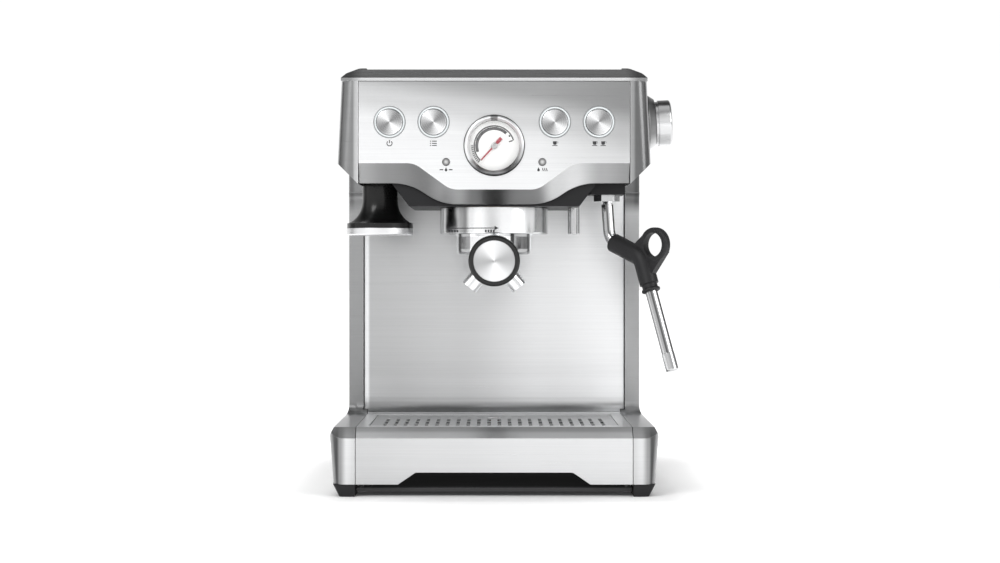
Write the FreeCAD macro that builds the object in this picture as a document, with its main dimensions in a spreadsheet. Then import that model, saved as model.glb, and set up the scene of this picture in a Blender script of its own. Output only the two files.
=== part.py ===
"""Home espresso machine with a 54 mm group, a swivelling steam wand and a rear water tank.

Design axes: X to the right as the user faces the machine, Y towards the wall, Z up from the counter.
X 0 is the machine's middle plane and Y 0 the front face of its base. Every sub-part is then shifted
by frame_x and frame_y, so that the finished model's origin is the bottom centre of its bounding box.
"""

import FreeCAD, Part
import math
import os

import Sketcher
from FreeCAD import Placement, Rotation, Vector

SIZES = {
    # where the model's origin lies in the design axes
    "frame_x": -8.02,
    "frame_y": -132.93,
    # whole machine
    "total_height": 333.0,
    "body_depth": 303.0,
    "base_half": 127.0,
    "base_half_low": 124.3,
    "body_half": 122.5,
    "head_half_top": 119.4,
    "wall": 2.5,
    "sheet_metal": 1.2,
    # base
    "base_low": 9.5,
    "base_front_top": 45.0,
    "base_top": 53.0,
    "base_bevel": 9.0,
    "base_seam": 107.0,
    "tray_back": 146.0,
    "notch_half_top": 60.5,
    "notch_half_low": 74.0,
    "notch_top": 18.7,
    # column
    "column_front": 150.0,
    "column_seam": 110.5,
    "splash_front": 158.0,
    # head
    "head_front": 20.0,
    "head_low": 241.5,
    "head_low_outer": 257.5,
    "head_top": 321.6,
    "head_seam": 106.0,
    "bevel_back": 29.0,
    "boss_low": 224.4,
    "boss_half": 67.0,
    "deck_lip": 324.0,
    "deck_back": 224.0,
    # group and portafilter
    "group_y": 80.0,
    "collar_radius": 43.5,
    "collar_low": 203.0,
    "collar_high": 224.0,
    "cup_radius": 30.3,
    "cup_low": 186.6,
    "cup_high": 216.0,
    "lug_radius": 37.5,
    "handle_tilt": 9.0,
    "handle_z": 195.0,
    "spout_tilt": 40.0,
    # fascia fittings
    "button_z": 289.5,
    "button_inner_x": 47.2,
    "button_outer_x": 81.5,
    "button_radius": 10.1,
    "ring_radius": 12.4,
    "gauge_z": 271.2,
    "gauge_radius": 23.9,
    "lamp_x": 37.5,
    "lamp_z": 258.4,
    "lamp_radius": 3.0,
    # steam dial
    "dial_y": 75.0,
    "dial_z": 291.8,
    "dial_radius": 18.4,
    # tamper
    "tamper_x": -91.6,
    "tamper_y": 67.0,
    "tamper_radius": 26.5,
    "tamper_low": 201.9,
    # hot water outlet
    "outlet_x": 64.4,
    # steam wand
    "wand_x": 90.0,
    "wand_y": 62.0,
    "wand_z": 233.0,
    "wand_ball": 6.5,
    "wand_plane": -45.0,
    "wand_tube": 4.8,
    "wand_steel": 5.1,
    "wand_grip": 7.5,
    # tank
    "tank_half": 96.5,
    "tank_front": 228.0,
    "tank_back": 300.0,
    "tank_low": 109.3,
    "tank_high": 321.0,
    "tank_wall": 2.2,
    "lid_half": 97.0,
    "seat_z": 106.0,
    # rear housing
    "housing_half": 105.6,
    "housing_back": 301.0,
    "housing_wall": 3.0,
}

doc = FreeCAD.newDocument("EspressoMachine")
dim = doc.addObject("Spreadsheet::Sheet", "dim")
for row, (alias, size) in enumerate(SIZES.items(), 1):
    dim.set(f"A{row}", alias)
    dim.set(f"B{row}", str(size))
    dim.setAlias(f"B{row}", alias)
doc.recompute()

SUB_PARTS = []
SMALL = 0.01
X_AXIS, Y_AXIS, Z_AXIS = Vector(1, 0, 0), Vector(0, 1, 0), Vector(0, 0, 1)
UP = Rotation()
FRONT = Rotation(Vector(1, 0, 0), 90)  # local Z comes out of the front
RIGHT = Rotation(Vector(0, 1, 0), 90)  # local Z comes out of the right side
SIDE_LEAN = math.degrees(math.atan(3.1 / 65.1))  # how far the head's sides lean inwards
OUT_OF_SIDE = Rotation(Vector(0, 1, 0), 90 - SIDE_LEAN)
INTO_SIDE = Rotation(Vector(0, 1, 0), 270 - SIDE_LEAN)
DIAL_AT = ("dim.body_half - 1.6", "dim.dial_y", "dim.dial_z")


# ---------------------------------------------------------------- helpers


def value(expression):
    """The number that an expression over the sheet gives."""
    return float(dim.evalExpression(str(expression)))


def bind(obj, **expressions):
    """Ties an object's properties to expressions; a double underscore in a name stands for a dot."""
    for name, expression in expressions.items():
        obj.setExpression(name.replace("__", "."), str(expression))
    return obj


def sub_part(obj, label, at=("0", "0", "0"), turn=None):
    """Makes obj one of the machine's sub-parts, at a place in the design axes."""
    obj.Label = label
    if turn is not None:
        obj.Placement = Placement(Vector(), turn)
    bind(
        obj,
        Placement__Base__x=f"dim.frame_x + ({at[0]})",
        Placement__Base__y=f"dim.frame_y + ({at[1]})",
        Placement__Base__z=at[2],
    )
    SUB_PARTS.append(obj)
    return obj


def shaped(label, shape, at=(0, 0, 0), turn=None):
    """A sub-part whose shape is set by Part's own functions."""
    obj = doc.addObject("Part::Feature", label)
    obj.Label = label
    obj.Shape = shape
    base = Vector(*at) + Vector(value("dim.frame_x"), value("dim.frame_y"), 0)
    obj.Placement = Placement(base, turn or UP)
    SUB_PARTS.append(obj)
    return obj


def box(x, y, z):
    """A block between two expressions along each axis."""
    obj = doc.addObject("Part::Box", "Box")
    bind(
        obj,
        Length=f"({x[1]}) - ({x[0]})",
        Width=f"({y[1]}) - ({y[0]})",
        Height=f"({z[1]}) - ({z[0]})",
        Placement__Base__x=x[0],
        Placement__Base__y=y[0],
        Placement__Base__z=z[0],
    )
    return obj


def rod(radius, at, length, turn=UP):
    """A cylinder from a point, along Z as turned."""
    obj = doc.addObject("Part::Cylinder", "Cylinder")
    obj.Placement = Placement(Vector(), turn)
    bind(
        obj,
        Radius=radius,
        Height=length,
        Placement__Base__x=at[0],
        Placement__Base__y=at[1],
        Placement__Base__z=at[2],
    )
    return obj


def fuse(*objs):
    obj = doc.addObject("Part::MultiFuse", "Fuse")
    obj.Shapes = list(objs)
    obj.Refine = True
    return obj


def cut(base, *tools):
    """base with every tool taken away."""
    for tool in tools:
        obj = doc.addObject("Part::Cut", "Cut")
        obj.Base = base
        obj.Tool = tool
        obj.Refine = True
        base = obj
    return base


def group(*objs):
    """Several separate solids as one object."""
    obj = doc.addObject("Part::Compound", "Group")
    obj.Links = list(objs)
    return obj


def body(name):
    return doc.addObject("PartDesign::Body", name)


def flat_sketch(part, plane, offset):
    """An empty sketch on one of the body's own planes, offset towards the plane's plus side."""
    sketch = part.newObject("Sketcher::SketchObject", f"Sketch{plane}")
    plane_object = next(p for p in part.Origin.OriginFeatures if p.Role == f"{plane}_Plane")
    sketch.AttachmentSupport = [(plane_object, "")]
    sketch.MapMode = "FlatFace"
    if plane == "XZ":
        offset = f"-({offset})"
    bind(sketch, AttachmentOffset__Base__z=offset)
    return sketch


def place_point(sketch, geometry, vertex, at):
    """Ties a point of a sketch to two expressions."""
    for kind, expression in zip(("DistanceX", "DistanceY"), at):
        number = sketch.addConstraint(
            Sketcher.Constraint(kind, -1, 1, geometry, vertex, value(expression))
        )
        sketch.setExpression(f"Constraints[{number}]", str(expression))


def outline(part, plane, offset, corners):
    """A closed sketch of straight edges through corners."""
    sketch = flat_sketch(part, plane, offset)
    points = [Vector(value(a), value(b), 0) for a, b in corners]
    count = len(points)
    for i in range(count):
        sketch.addGeometry(Part.LineSegment(points[i], points[(i + 1) % count]), False)
    for i in range(count):
        sketch.addConstraint(Sketcher.Constraint("Coincident", i, 2, (i + 1) % count, 1))
    for i, corner in enumerate(corners):
        place_point(sketch, i, 1, corner)
    return sketch


def ring_outline(part, plane, offset, centre, radius):
    """A circle sketch at a centre given by two expressions."""
    sketch = flat_sketch(part, plane, offset)
    middle = Vector(value(centre[0]), value(centre[1]), 0)
    sketch.addGeometry(Part.Circle(middle, Z_AXIS, value(radius)), False)
    place_point(sketch, 0, 3, centre)
    number = sketch.addConstraint(Sketcher.Constraint("Radius", 0, value(radius)))
    sketch.setExpression(f"Constraints[{number}]", str(radius))
    return sketch


def pad(part, sketch, length):
    """Adds the sketch's area to the body, from the sketch towards its plane's plus side."""
    feature = part.newObject("PartDesign::Pad", "Pad")
    feature.Profile = sketch
    bind(feature, Length=length)
    feature.Reversed = sketch.Name.startswith("SketchXZ")
    doc.recompute()
    return feature


def pocket(part, sketch, length):
    """Cuts the sketch's area from the body, towards the plus side, and checks that it cut."""
    before = part.Shape.Volume
    feature = part.newObject("PartDesign::Pocket", "Pocket")
    feature.Profile = sketch
    bind(feature, Length=length)
    feature.Reversed = not sketch.Name.startswith("SketchXZ")
    doc.recompute()
    assert part.Shape.Volume < before - SMALL, f"a pocket in {part.Name} cut nothing"
    return feature


def fillet(part, radius, chosen):
    """Rounds the edges of the body's tip that chosen(edge) picks."""
    tip = part.Tip
    picked = [f"Edge{i}" for i, e in enumerate(part.Shape.Edges, 1) if chosen(e)]
    assert picked, f"no edge of {part.Name} to round"
    feature = part.newObject("PartDesign::Fillet", "Fillet")
    feature.Base = (tip, picked)
    bind(feature, Radius=radius)
    doc.recompute()
    failed = "Invalid" in feature.State or not part.Shape.isValid()
    assert not failed, f"a rounding by {radius} of {part.Name} failed"
    return feature


def turned(name, profile, rounded=()):
    """A body turned about its own Z from (radius, height) corners; rounded holds (radius, height, size)."""
    part = body(name)
    sketch = outline(part, "XZ", "0", profile)
    feature = part.newObject("PartDesign::Revolution", "Turned")
    feature.Profile = sketch
    feature.ReferenceAxis = (sketch, ["V_Axis"])
    feature.Angle = 360
    doc.recompute()
    for radius, height, size in rounded:
        wide, high = value(radius), value(height)
        fillet(part, size, lambda e: is_ring(e, wide, high))
    return part


def swept_round(lower, curve, upper):
    """A solid turned about Z: straight through lower, a smooth curve, then straight through upper."""

    def point(radius_height):
        return Vector(radius_height[0], 0, radius_height[1])

    spline = Part.BSplineCurve()
    spline.interpolate([point(p) for p in curve])
    corners = [point(p) for p in lower + curve[:1]]
    edges = [Part.makeLine(a, b) for a, b in zip(corners, corners[1:])]
    edges.append(spline.toShape())
    corners = [point(p) for p in curve[-1:] + upper + lower[:1]]
    edges += [Part.makeLine(a, b) for a, b in zip(corners, corners[1:])]
    return Part.Face(Part.Wire(edges)).revolve(Vector(), Z_AXIS, 360)


def is_ring(edge, radius, height):
    """Whether an edge is a circle about the body's own Z."""
    curve = edge.Curve
    return (
        curve.TypeId == "Part::GeomCircle"
        and abs(curve.Radius - radius) < SMALL
        and abs(curve.Center.z - height) < SMALL
    )


def runs_along(edge, axis):
    """Whether an edge is straight and parallel to an axis."""
    if edge.Curve.TypeId != "Part::GeomLine":
        return False
    return abs(abs(edge.Curve.Direction.dot(axis)) - 1) < 1e-6


def bent_path(points, radii):
    """A wire through points, with a tangent arc of the given radius at each inner corner."""
    edges = []
    start = points[0]
    for i, radius in enumerate(radii, 1):
        before = (points[i] - points[i - 1]).normalize()
        after = (points[i + 1] - points[i]).normalize()
        turn = before.getAngle(after)
        setback = radius * math.tan(turn / 2)
        first = points[i] - before * setback
        last = points[i] + after * setback
        inward = (after - before).normalize()
        centre = points[i] + inward * (radius / math.cos(turn / 2))
        middle = centre - inward * radius
        edges.append(Part.LineSegment(start, first).toShape())
        edges.append(Part.Arc(first, middle, last).toShape())
        start = last
    edges.append(Part.LineSegment(start, points[-1]).toShape())
    return Part.Wire(edges)


def tube(points, radii, outer, inner=0.0):
    """A round tube, or a rod if inner is 0, along a bent path."""
    path = bent_path(points, radii)
    direction = points[1] - points[0]
    solid = None
    for radius in (outer, inner):
        if not radius:
            continue
        ring = Part.Wire(Part.makeCircle(radius, points[0], direction))
        swept = path.makePipeShell([ring], True, False)
        solid = solid.cut(swept) if solid else swept
    return solid


# ---------------------------------------------------------------- casing


def cheek_blank(inset, front_inset):
    """The right cheek as a solid, its faces taken in by inset and its front by front_inset."""
    part = body("Cheek")
    inner_depth = f"dim.body_depth - {inset}"
    profile = [
        (front_inset, f"dim.base_low + {inset}"),
        (front_inset, f"dim.base_front_top - {inset}"),
        (f"dim.base_bevel + {front_inset}", f"dim.base_top - {inset}"),
        (f"dim.column_front + {inset}", f"dim.base_top - {inset}"),
        (f"dim.column_front + {inset}", f"dim.head_low + {inset}"),
        (f"dim.head_front + {front_inset}", f"dim.head_low + {inset}"),
        (f"dim.head_front + {front_inset}", f"dim.head_top - {inset}"),
        (inner_depth, f"dim.head_top - {inset}"),
        (inner_depth, f"dim.base_low + {inset}"),
    ]
    seam = f"dim.head_seam - {inset}"
    pad(part, outline(part, "YZ", seam, profile), "dim.base_half - dim.head_seam")
    column = value(f"dim.column_front + {inset}")
    inner_corners = [
        e.CenterOfMass
        for e in part.Shape.Edges
        if runs_along(e, X_AXIS) and abs(e.CenterOfMass.y - column) < SMALL
    ]
    fillet(part, "10", lambda e: any(e.CenterOfMass.isEqual(c, SMALL) for c in inner_corners))
    outside = [
        (f"dim.base_half_low - {inset}", "dim.base_low - 1"),
        (f"dim.base_half - {inset}", "dim.base_front_top"),
        (f"dim.base_half - {inset}", "dim.base_top - 6"),
        (f"dim.body_half - {inset}", "dim.base_top + 3"),
        (f"dim.body_half - {inset}", "dim.head_low_outer"),
        (f"dim.head_half_top - {inset}", "dim.head_top + 1"),
        ("dim.base_half + 10", "dim.head_top + 1"),
        ("dim.base_half + 10", "dim.base_low - 1"),
    ]
    pocket(part, outline(part, "XZ", "0", outside), "dim.body_depth")
    under_head = [
        ("dim.head_seam", f"dim.head_low + {inset}"),
        ("dim.body_half + 2", f"dim.head_low_outer + 2 + {inset}"),
        ("dim.body_half + 2", "dim.head_low - 2"),
        ("dim.head_seam", "dim.head_low - 2"),
    ]
    pocket(part, outline(part, "XZ", "0", under_head), f"dim.column_front - 1 + {inset}")
    return part


def side_panel():
    """The right cheek: a C-shaped shell that is wider at the base and cut away under the head."""
    part = cheek_blank("0", "0")
    flare_low, flare_high = value("dim.base_top") - 6, value("dim.base_top") + 3
    fillet(part, "14", lambda e: runs_along(e, Y_AXIS) and abs(e.CenterOfMass.z - flare_high) < SMALL)
    fillet(part, "7", lambda e: runs_along(e, Y_AXIS) and abs(e.CenterOfMass.z - flare_low) < SMALL)
    head_front = value("dim.head_front")
    fillet(part, "10", lambda e: is_front_corner(e, head_front))
    seam_step = [
        ("dim.head_seam - 1", "dim.base_low - 1"),
        ("dim.base_seam", "dim.base_low - 1"),
        ("dim.base_seam", "dim.base_top + 3"),
        ("dim.column_seam", "dim.base_top + 3"),
        ("dim.column_seam", "dim.head_low"),
        ("dim.head_seam - 1", "dim.head_low"),
    ]
    pocket(part, outline(part, "XZ", "0", seam_step), "dim.splash_front + 8")
    return cut(part, base_corner(), cheek_blank("dim.wall", "dim.wall + 3"))


def base_corner():
    """What is cut from the base's upright front corner: all but a cylinder that leans with the side."""
    radius = 10
    block = box(("0", f"{radius} + 4"), (f"-{radius} - 2", "0"), ("-3", "60"))
    tool = cut(block, rod(str(radius), ("0", "0", "-4"), "66"))
    rise = value("dim.base_front_top - dim.base_low")
    lean = math.degrees(math.atan(value("dim.base_half - dim.base_half_low") / rise))
    tool.Placement = Placement(Vector(), Rotation(Y_AXIS, lean))
    bind(tool, Placement__Base__x=f"dim.base_half_low - {radius}", Placement__Base__y=str(radius),
         Placement__Base__z="dim.base_low")
    return tool


def is_front_corner(edge, y):
    """Whether an edge is the cheek's outer upright edge at the front face y."""
    bounds = edge.BoundBox
    upright = bounds.YLength < SMALL and bounds.ZLength > 20
    return upright and abs(bounds.YMin - y) < SMALL and bounds.XMin > value("dim.body_half") - 5


def casing():
    right_cheek = side_panel()
    mirrored = doc.addObject("Part::Mirroring", "Mirrored")
    mirrored.Source = right_cheek
    mirrored.Normal = X_AXIS
    sub_part(mirrored, "side_panel_left")
    hole = rod("6", DIAL_AT, "30", INTO_SIDE)
    sub_part(cut(right_cheek, hole), "side_panel_right")
    fascia()
    top_deck()
    warming_plate()
    head_under_cover()
    head_frame()
    splashback()
    base_pan()
    rear_housing()
    feet()
    screws()


def s_curve_outline(low_side, low_middle, start, angle, radius, y, half, top):
    """The fascia's outline at depth y: straight at the sides, dipping through two S bends to the middle."""
    turn = math.radians(angle)
    drop = low_side - low_middle
    slope_drop = drop - 2 * radius * (1 - math.cos(turn))
    slope_run = slope_drop / math.tan(turn)
    bend_run = radius * math.sin(turn)
    bend_drop = radius * (1 - math.cos(turn))
    half_turn = turn / 2

    def right_half():
        """Points from the right side to the middle; every second one is on a bend."""
        first = Vector(start, y, low_side)
        bend = Vector(start - radius * math.sin(half_turn), y, 0)
        bend.z = low_side - radius * (1 - math.cos(half_turn))
        second = Vector(start - bend_run, y, low_side - bend_drop)
        third = second + Vector(-slope_run, 0, -slope_drop)
        last = third + Vector(-bend_run, 0, -bend_drop)
        lower = Vector(last.x + radius * math.sin(half_turn), y, 0)
        lower.z = low_middle + radius * (1 - math.cos(half_turn))
        return first, bend, second, third, lower, last

    a, b, c, d, e, f = right_half()
    mirror = [Vector(-p.x, p.y, p.z) for p in (a, b, c, d, e, f)]
    edges = [
        Part.LineSegment(Vector(half, y, top), Vector(half, y, low_side)),
        Part.LineSegment(Vector(half, y, low_side), a),
        Part.Arc(a, b, c),
        Part.LineSegment(c, d),
        Part.Arc(d, e, f),
        Part.LineSegment(f, mirror[5]),
        Part.Arc(mirror[5], mirror[4], mirror[3]),
        Part.LineSegment(mirror[3], mirror[2]),
        Part.Arc(mirror[2], mirror[1], mirror[0]),
        Part.LineSegment(mirror[0], Vector(-half, y, low_side)),
        Part.LineSegment(Vector(-half, y, low_side), Vector(-half, y, top)),
        Part.LineSegment(Vector(-half, y, top), Vector(half, y, top)),
    ]
    return Part.Wire([edge.toShape() for edge in edges])


FASCIA_EDGE = {"low_middle": 237.0, "start": 68.0, "angle": 36.0, "radius": 17.5}
BEVEL_EDGE = {"low_middle": 225.6, "start": 79.0, "angle": 33.0, "radius": 42.0}
FASCIA_GAP = 0.4


def fascia_loft(front, back, wall):
    """The solid between the face's outline and the bevel's lower outline, taken in by wall."""
    half = value("dim.head_seam") - FASCIA_GAP - wall
    top = value("dim.head_top") - FASCIA_GAP - wall
    face = dict(FASCIA_EDGE, low_side=value("dim.head_low_outer"))
    bevel = dict(BEVEL_EDGE, low_side=value("dim.head_low") + 0.5)
    for edge in (face, bevel):
        edge["low_side"] += wall
        edge["low_middle"] += wall
    wires = [
        s_curve_outline(y=front, half=half, top=top, **face),
        s_curve_outline(y=back, half=half, top=top, **bevel),
    ]
    return Part.makeLoft(wires, True, True)


def fascia():
    """The pressed steel front: a flat face with a bevel under its S-shaped lower edge."""
    front, back, sheet_metal = value("dim.head_front"), value("dim.bevel_back"), 1.5
    shell = fascia_loft(front, back, 0.0)
    inside = fascia_loft(front + sheet_metal, back + sheet_metal, sheet_metal)
    shell = shell.cut(inside)
    holes = []
    for x in ("button_inner_x", "button_outer_x"):
        for side in (-1, 1):
            holes.append((side * value("dim." + x), value("dim.button_z"), value("dim.ring_radius")))
    for side in (-1, 1):
        holes.append((side * value("dim.lamp_x"), value("dim.lamp_z"), value("dim.lamp_radius")))
    holes.append((0.0, value("dim.gauge_z"), 21.6))
    for x, z, radius in holes:
        drill = Part.makeCylinder(radius + 0.1, 12, Vector(x, front - 1, z), Y_AXIS)
        shell = shell.cut(drill)
    shaped("fascia", shell)


def top_deck():
    """The steel top cover: sloping edges, raised side rails and a cut-out for the tank's lid."""
    part = body("Deck")
    lip = [
        ("-dim.head_half_top", "dim.head_front"),
        ("dim.head_half_top", "dim.head_front"),
        ("dim.head_half_top", "dim.body_depth"),
        ("-dim.head_half_top", "dim.body_depth"),
    ]
    deck_height = "dim.total_height - dim.head_top"
    pad(part, outline(part, "XY", "dim.head_top", lip), deck_height)
    side_slope = [
        ("dim.head_half_top", "dim.deck_lip"),
        ("dim.head_half_top - 3.6", "dim.deck_lip + 4.2"),
        ("dim.head_half_top - 13.4", "dim.total_height"),
        ("dim.head_half_top + 2", "dim.total_height + 2"),
        ("dim.head_half_top + 2", "dim.deck_lip"),
    ]
    for side in ("", "-"):
        corners = [(f"{side}({a})", b) for a, b in side_slope]
        pocket(part, outline(part, "XZ", "0", corners), "dim.body_depth")
    front_slope = [
        ("dim.head_front", "dim.deck_lip"),
        ("dim.head_front + 17", "dim.total_height"),
        ("dim.head_front", "dim.total_height + 2"),
        ("dim.head_front - 2", "dim.deck_lip"),
    ]
    for height, size in (("dim.deck_lip + 4.2", "6"), ("dim.total_height", "9")):
        z = value(height)
        fillet(part, size, lambda e: runs_along(e, Y_AXIS) and abs(e.CenterOfMass.z - z) < SMALL)
    wide = "2 * dim.head_half_top"
    pocket(part, outline(part, "YZ", "-dim.head_half_top", front_slope), wide)
    between_rails = [
        ("-100", "0"),
        ("100", "0"),
        ("100", "dim.body_depth + 5"),
        ("-100", "dim.body_depth + 5"),
    ]
    pocket(part, outline(part, "XY", "dim.total_height - 1.1", between_rails), "5")
    lid_bay = [
        ("-dim.lid_half - 0.8", "dim.deck_back + 1.6"),
        ("dim.lid_half + 0.8", "dim.deck_back + 1.6"),
        ("dim.lid_half + 0.8", "dim.body_depth + 2"),
        ("-dim.lid_half - 0.8", "dim.body_depth + 2"),
    ]
    pocket(part, outline(part, "XY", "dim.head_top - 1", lid_bay), "20")
    plate_bay = [
        ("-93", "50"),
        ("93", "50"),
        ("93", "212"),
        ("-93", "212"),
    ]
    pocket(part, outline(part, "XY", "dim.total_height - 4", plate_bay), "20")
    hollow = [
        ("-112", "dim.head_front + 14"),
        ("112", "dim.head_front + 14"),
        ("112", "dim.deck_back - 2"),
        ("-112", "dim.deck_back - 2"),
    ]
    depth = "dim.total_height - 6.5 - dim.head_top"
    pocket(part, outline(part, "XY", "dim.head_top", hollow), depth)
    rim = value("dim.total_height")
    fillet(
        part,
        "0.9",
        lambda e: abs(e.BoundBox.ZMin - rim) < SMALL
        and runs_along(e, Y_AXIS)
        and abs(e.CenterOfMass.x) < 101,
    )
    sub_part(part, "top_deck")


def warming_plate():
    """The cup-warming plate: a steel sheet with long pressed ribs."""
    part = body("WarmingPlate")
    sheet = [("-92.6", "50.4"), ("92.6", "50.4"), ("92.6", "211.6"), ("-92.6", "211.6")]
    pad(part, outline(part, "XY", "dim.total_height - 4", sheet), "2")
    fillet(part, "5", lambda e: runs_along(e, Z_AXIS))
    rib = [("-80", "62"), ("80", "62"), ("80", "66"), ("-80", "66")]
    ribs = pad(part, outline(part, "XY", "dim.total_height - 2", rib), "0.9")
    pattern = part.newObject("PartDesign::LinearPattern", "Ribs")
    pattern.Originals = [ribs]
    y_axis = next(p for p in part.Origin.OriginFeatures if p.Role == "Y_Axis")
    pattern.Direction = (y_axis, [""])
    pattern.Length = 133
    pattern.Occurrences = 8
    part.Tip = pattern
    doc.recompute()
    sub_part(part, "warming_plate")


def head_under_cover():
    """The dark moulding under the head: a trough-shaped boss around the group."""
    part = body("UnderCover")
    low, high = "dim.boss_low", "dim.head_low + 1.5"
    section = [
        ("-dim.head_seam + 1", "dim.head_low + 5"),
        ("-dim.head_seam + 1", high),
        ("-dim.boss_half - 14", high),
        ("-dim.boss_half", low),
        ("dim.boss_half", low),
        ("dim.boss_half + 14", high),
        ("dim.head_seam - 1", high),
        ("dim.head_seam - 1", "dim.head_low + 5"),
    ]
    length = "dim.splash_front - 1 - dim.bevel_back - 3"
    pad(part, outline(part, "XZ", "dim.bevel_back + 3", section), length)
    trough = [
        ("-dim.boss_half - 13", "dim.head_low + 6"),
        ("-dim.boss_half - 13", high + " + 1"),
        ("-dim.boss_half + 1.5", low + " + dim.wall"),
        ("dim.boss_half - 1.5", low + " + dim.wall"),
        ("dim.boss_half + 13", high + " + 1"),
        ("dim.boss_half + 13", "dim.head_low + 6"),
    ]
    inner = "dim.splash_front - 3.5 - dim.bevel_back - 6"
    pocket(part, outline(part, "XZ", "dim.bevel_back + 6", trough), inner)
    block = [("76", "44"), ("103.5", "44"), ("103.5", "80"), ("76", "80")]
    pad(part, outline(part, "XY", "dim.head_low - 7.5", block), "9.5")
    bores = (
        ("0", "dim.group_y", "35.5"),
        ("dim.outlet_x", "dim.group_y", "5.2"),
        ("dim.tamper_x", "dim.tamper_y", "15"),
        ("dim.wand_x", "dim.wand_y", "10.8"),
    )
    for x, y, radius in bores:
        circle = ring_outline(part, "XY", low + " - 1", (x, y), radius)
        pocket(part, circle, "30")
    sub_part(part, "head_under_cover")


def head_frame():
    """The steel bracket that carries the group block, the heater and the valves."""
    part = body("HeadFrame")
    plate = [
        ("-66", "38"),
        ("66", "38"),
        ("66", "120"),
        ("105.8", "120"),
        ("105.8", "220"),
        ("-105.8", "220"),
        ("-105.8", "120"),
        ("-66", "120"),
    ]
    pad(part, outline(part, "XY", "dim.head_low + 5.5", plate), "dim.sheet_metal")
    fold = [("-105", "218.8"), ("105", "218.8"), ("105", "220"), ("-105", "220")]
    pad(part, outline(part, "XY", "dim.head_low + 5.5", fold), "22")
    block_hole = ring_outline(part, "XY", "dim.head_low", ("0", "dim.group_y"), "41")
    pocket(part, block_hole, "20")
    outlet_hole = ring_outline(part, "XY", "dim.head_low", ("dim.outlet_x", "dim.group_y"), "7")
    pocket(part, outlet_hole, "20")
    pipe_hole = ring_outline(part, "XY", "dim.head_low", ("-88", "200"), "4.5")
    pocket(part, pipe_hole, "20")
    sub_part(part, "head_frame")


def splashback():
    """The brushed steel sheet behind the cups, curved forward at its foot."""
    part = body("Splash")
    front, thick = "dim.splash_front", "dim.sheet_metal"
    section = [
        ("dim.tray_back + 1", "dim.base_top + 1"),
        (front, "dim.base_top + 1"),
        (front, "dim.head_low + 4"),
        (f"{front} + {thick}", "dim.head_low + 4"),
        (f"{front} + {thick}", f"dim.base_top + 1 - {thick}"),
        ("dim.tray_back + 1", f"dim.base_top + 1 - {thick}"),
    ]
    width = "2 * dim.column_seam - 1"
    pad(part, outline(part, "YZ", "0.5 - dim.column_seam", section), width)
    y, z = value(front), value("dim.base_top") + 1

    def at(edge, dy, dz):
        middle = edge.CenterOfMass
        return runs_along(edge, X_AXIS) and abs(middle.y - y - dy) + abs(middle.z - z - dz) < SMALL

    foot = [("dim.base_seam - 0.4", "50"), ("112", "50"), ("112", "56.4"), ("dim.base_seam - 0.4", "56.4")]
    for corners in (foot, [(f"-({a})", b) for a, b in foot]):
        pocket(part, outline(part, "XZ", "140", corners), "30")
    fillet(part, "10", lambda e: at(e, 0, 0))
    fillet(part, "10 + dim.sheet_metal", lambda e: at(e, value(thick), -value(thick)))
    sub_part(part, "splashback")


def base_pan():
    """The black floor of the machine: a flat keel under the drip tray and a tub behind it."""
    part = body("BasePan")
    floor = [("-106", "6"), ("106", "6"), ("106", "297"), ("-106", "297")]
    pad(part, outline(part, "XY", "3.5", floor), "3")
    tub = [("-106", "151"), ("106", "151"), ("106", "290"), ("-106", "290")]
    pad(part, outline(part, "XY", "3.5", tub), "42")
    inside = [("-103", "154"), ("103", "154"), ("103", "287"), ("-103", "287")]
    pocket(part, outline(part, "XY", "6.5", inside), "60")
    rail = [("-103.5", "8"), ("-101", "8"), ("-101", "151"), ("-103.5", "151")]
    rails = [rail, [(f"-({a})", b) for a, b in rail]]
    for corners in rails:
        pad(part, outline(part, "XY", "6.4", corners), "2.9")
    sub_part(part, "base_pan")


def rear_housing():
    """The black back mouldings: rear wall with vents, tank shelf, bulkhead and the tank bay's linings."""
    panels = [back_wall(), tank_shelf()]
    over_shelf = ("dim.seat_z + dim.housing_wall", "dim.head_top - 1")
    inner, outer, edge = "dim.tank_half + 2", "dim.tank_half + 4.5", "dim.housing_half"
    front, back = "222 + dim.housing_wall", "dim.housing_back"
    panels.append(box((f"-{edge}", edge), ("222", front), over_shelf))
    for side in (-1, 1):
        lining = sideways(side, inner, outer)
        flange = sideways(side, outer, edge)
        panels.append(box(lining, (front, back), over_shelf))
        panels.append(box(flange, (f"{back} - 2.5", back), over_shelf))
    sub_part(group(*panels), "rear_housing")
    gland_profile = [("3.6", "-3"), ("9", "-3"), ("9", "0"), ("6.3", "0"), ("6.3", "6"),
                     ("5.2", "10"), ("3.6", "10")]
    gland = turned("Gland", gland_profile)
    sub_part(gland, "cord_gland", ("-80", "301", "28"), Rotation(X_AXIS, 90))


def sideways(side, near, far):
    """The span between two distances from the middle plane, on the left (-1) or on the right (1)."""
    if side > 0:
        return near, far
    return f"-({far})", f"-({near})"


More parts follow.
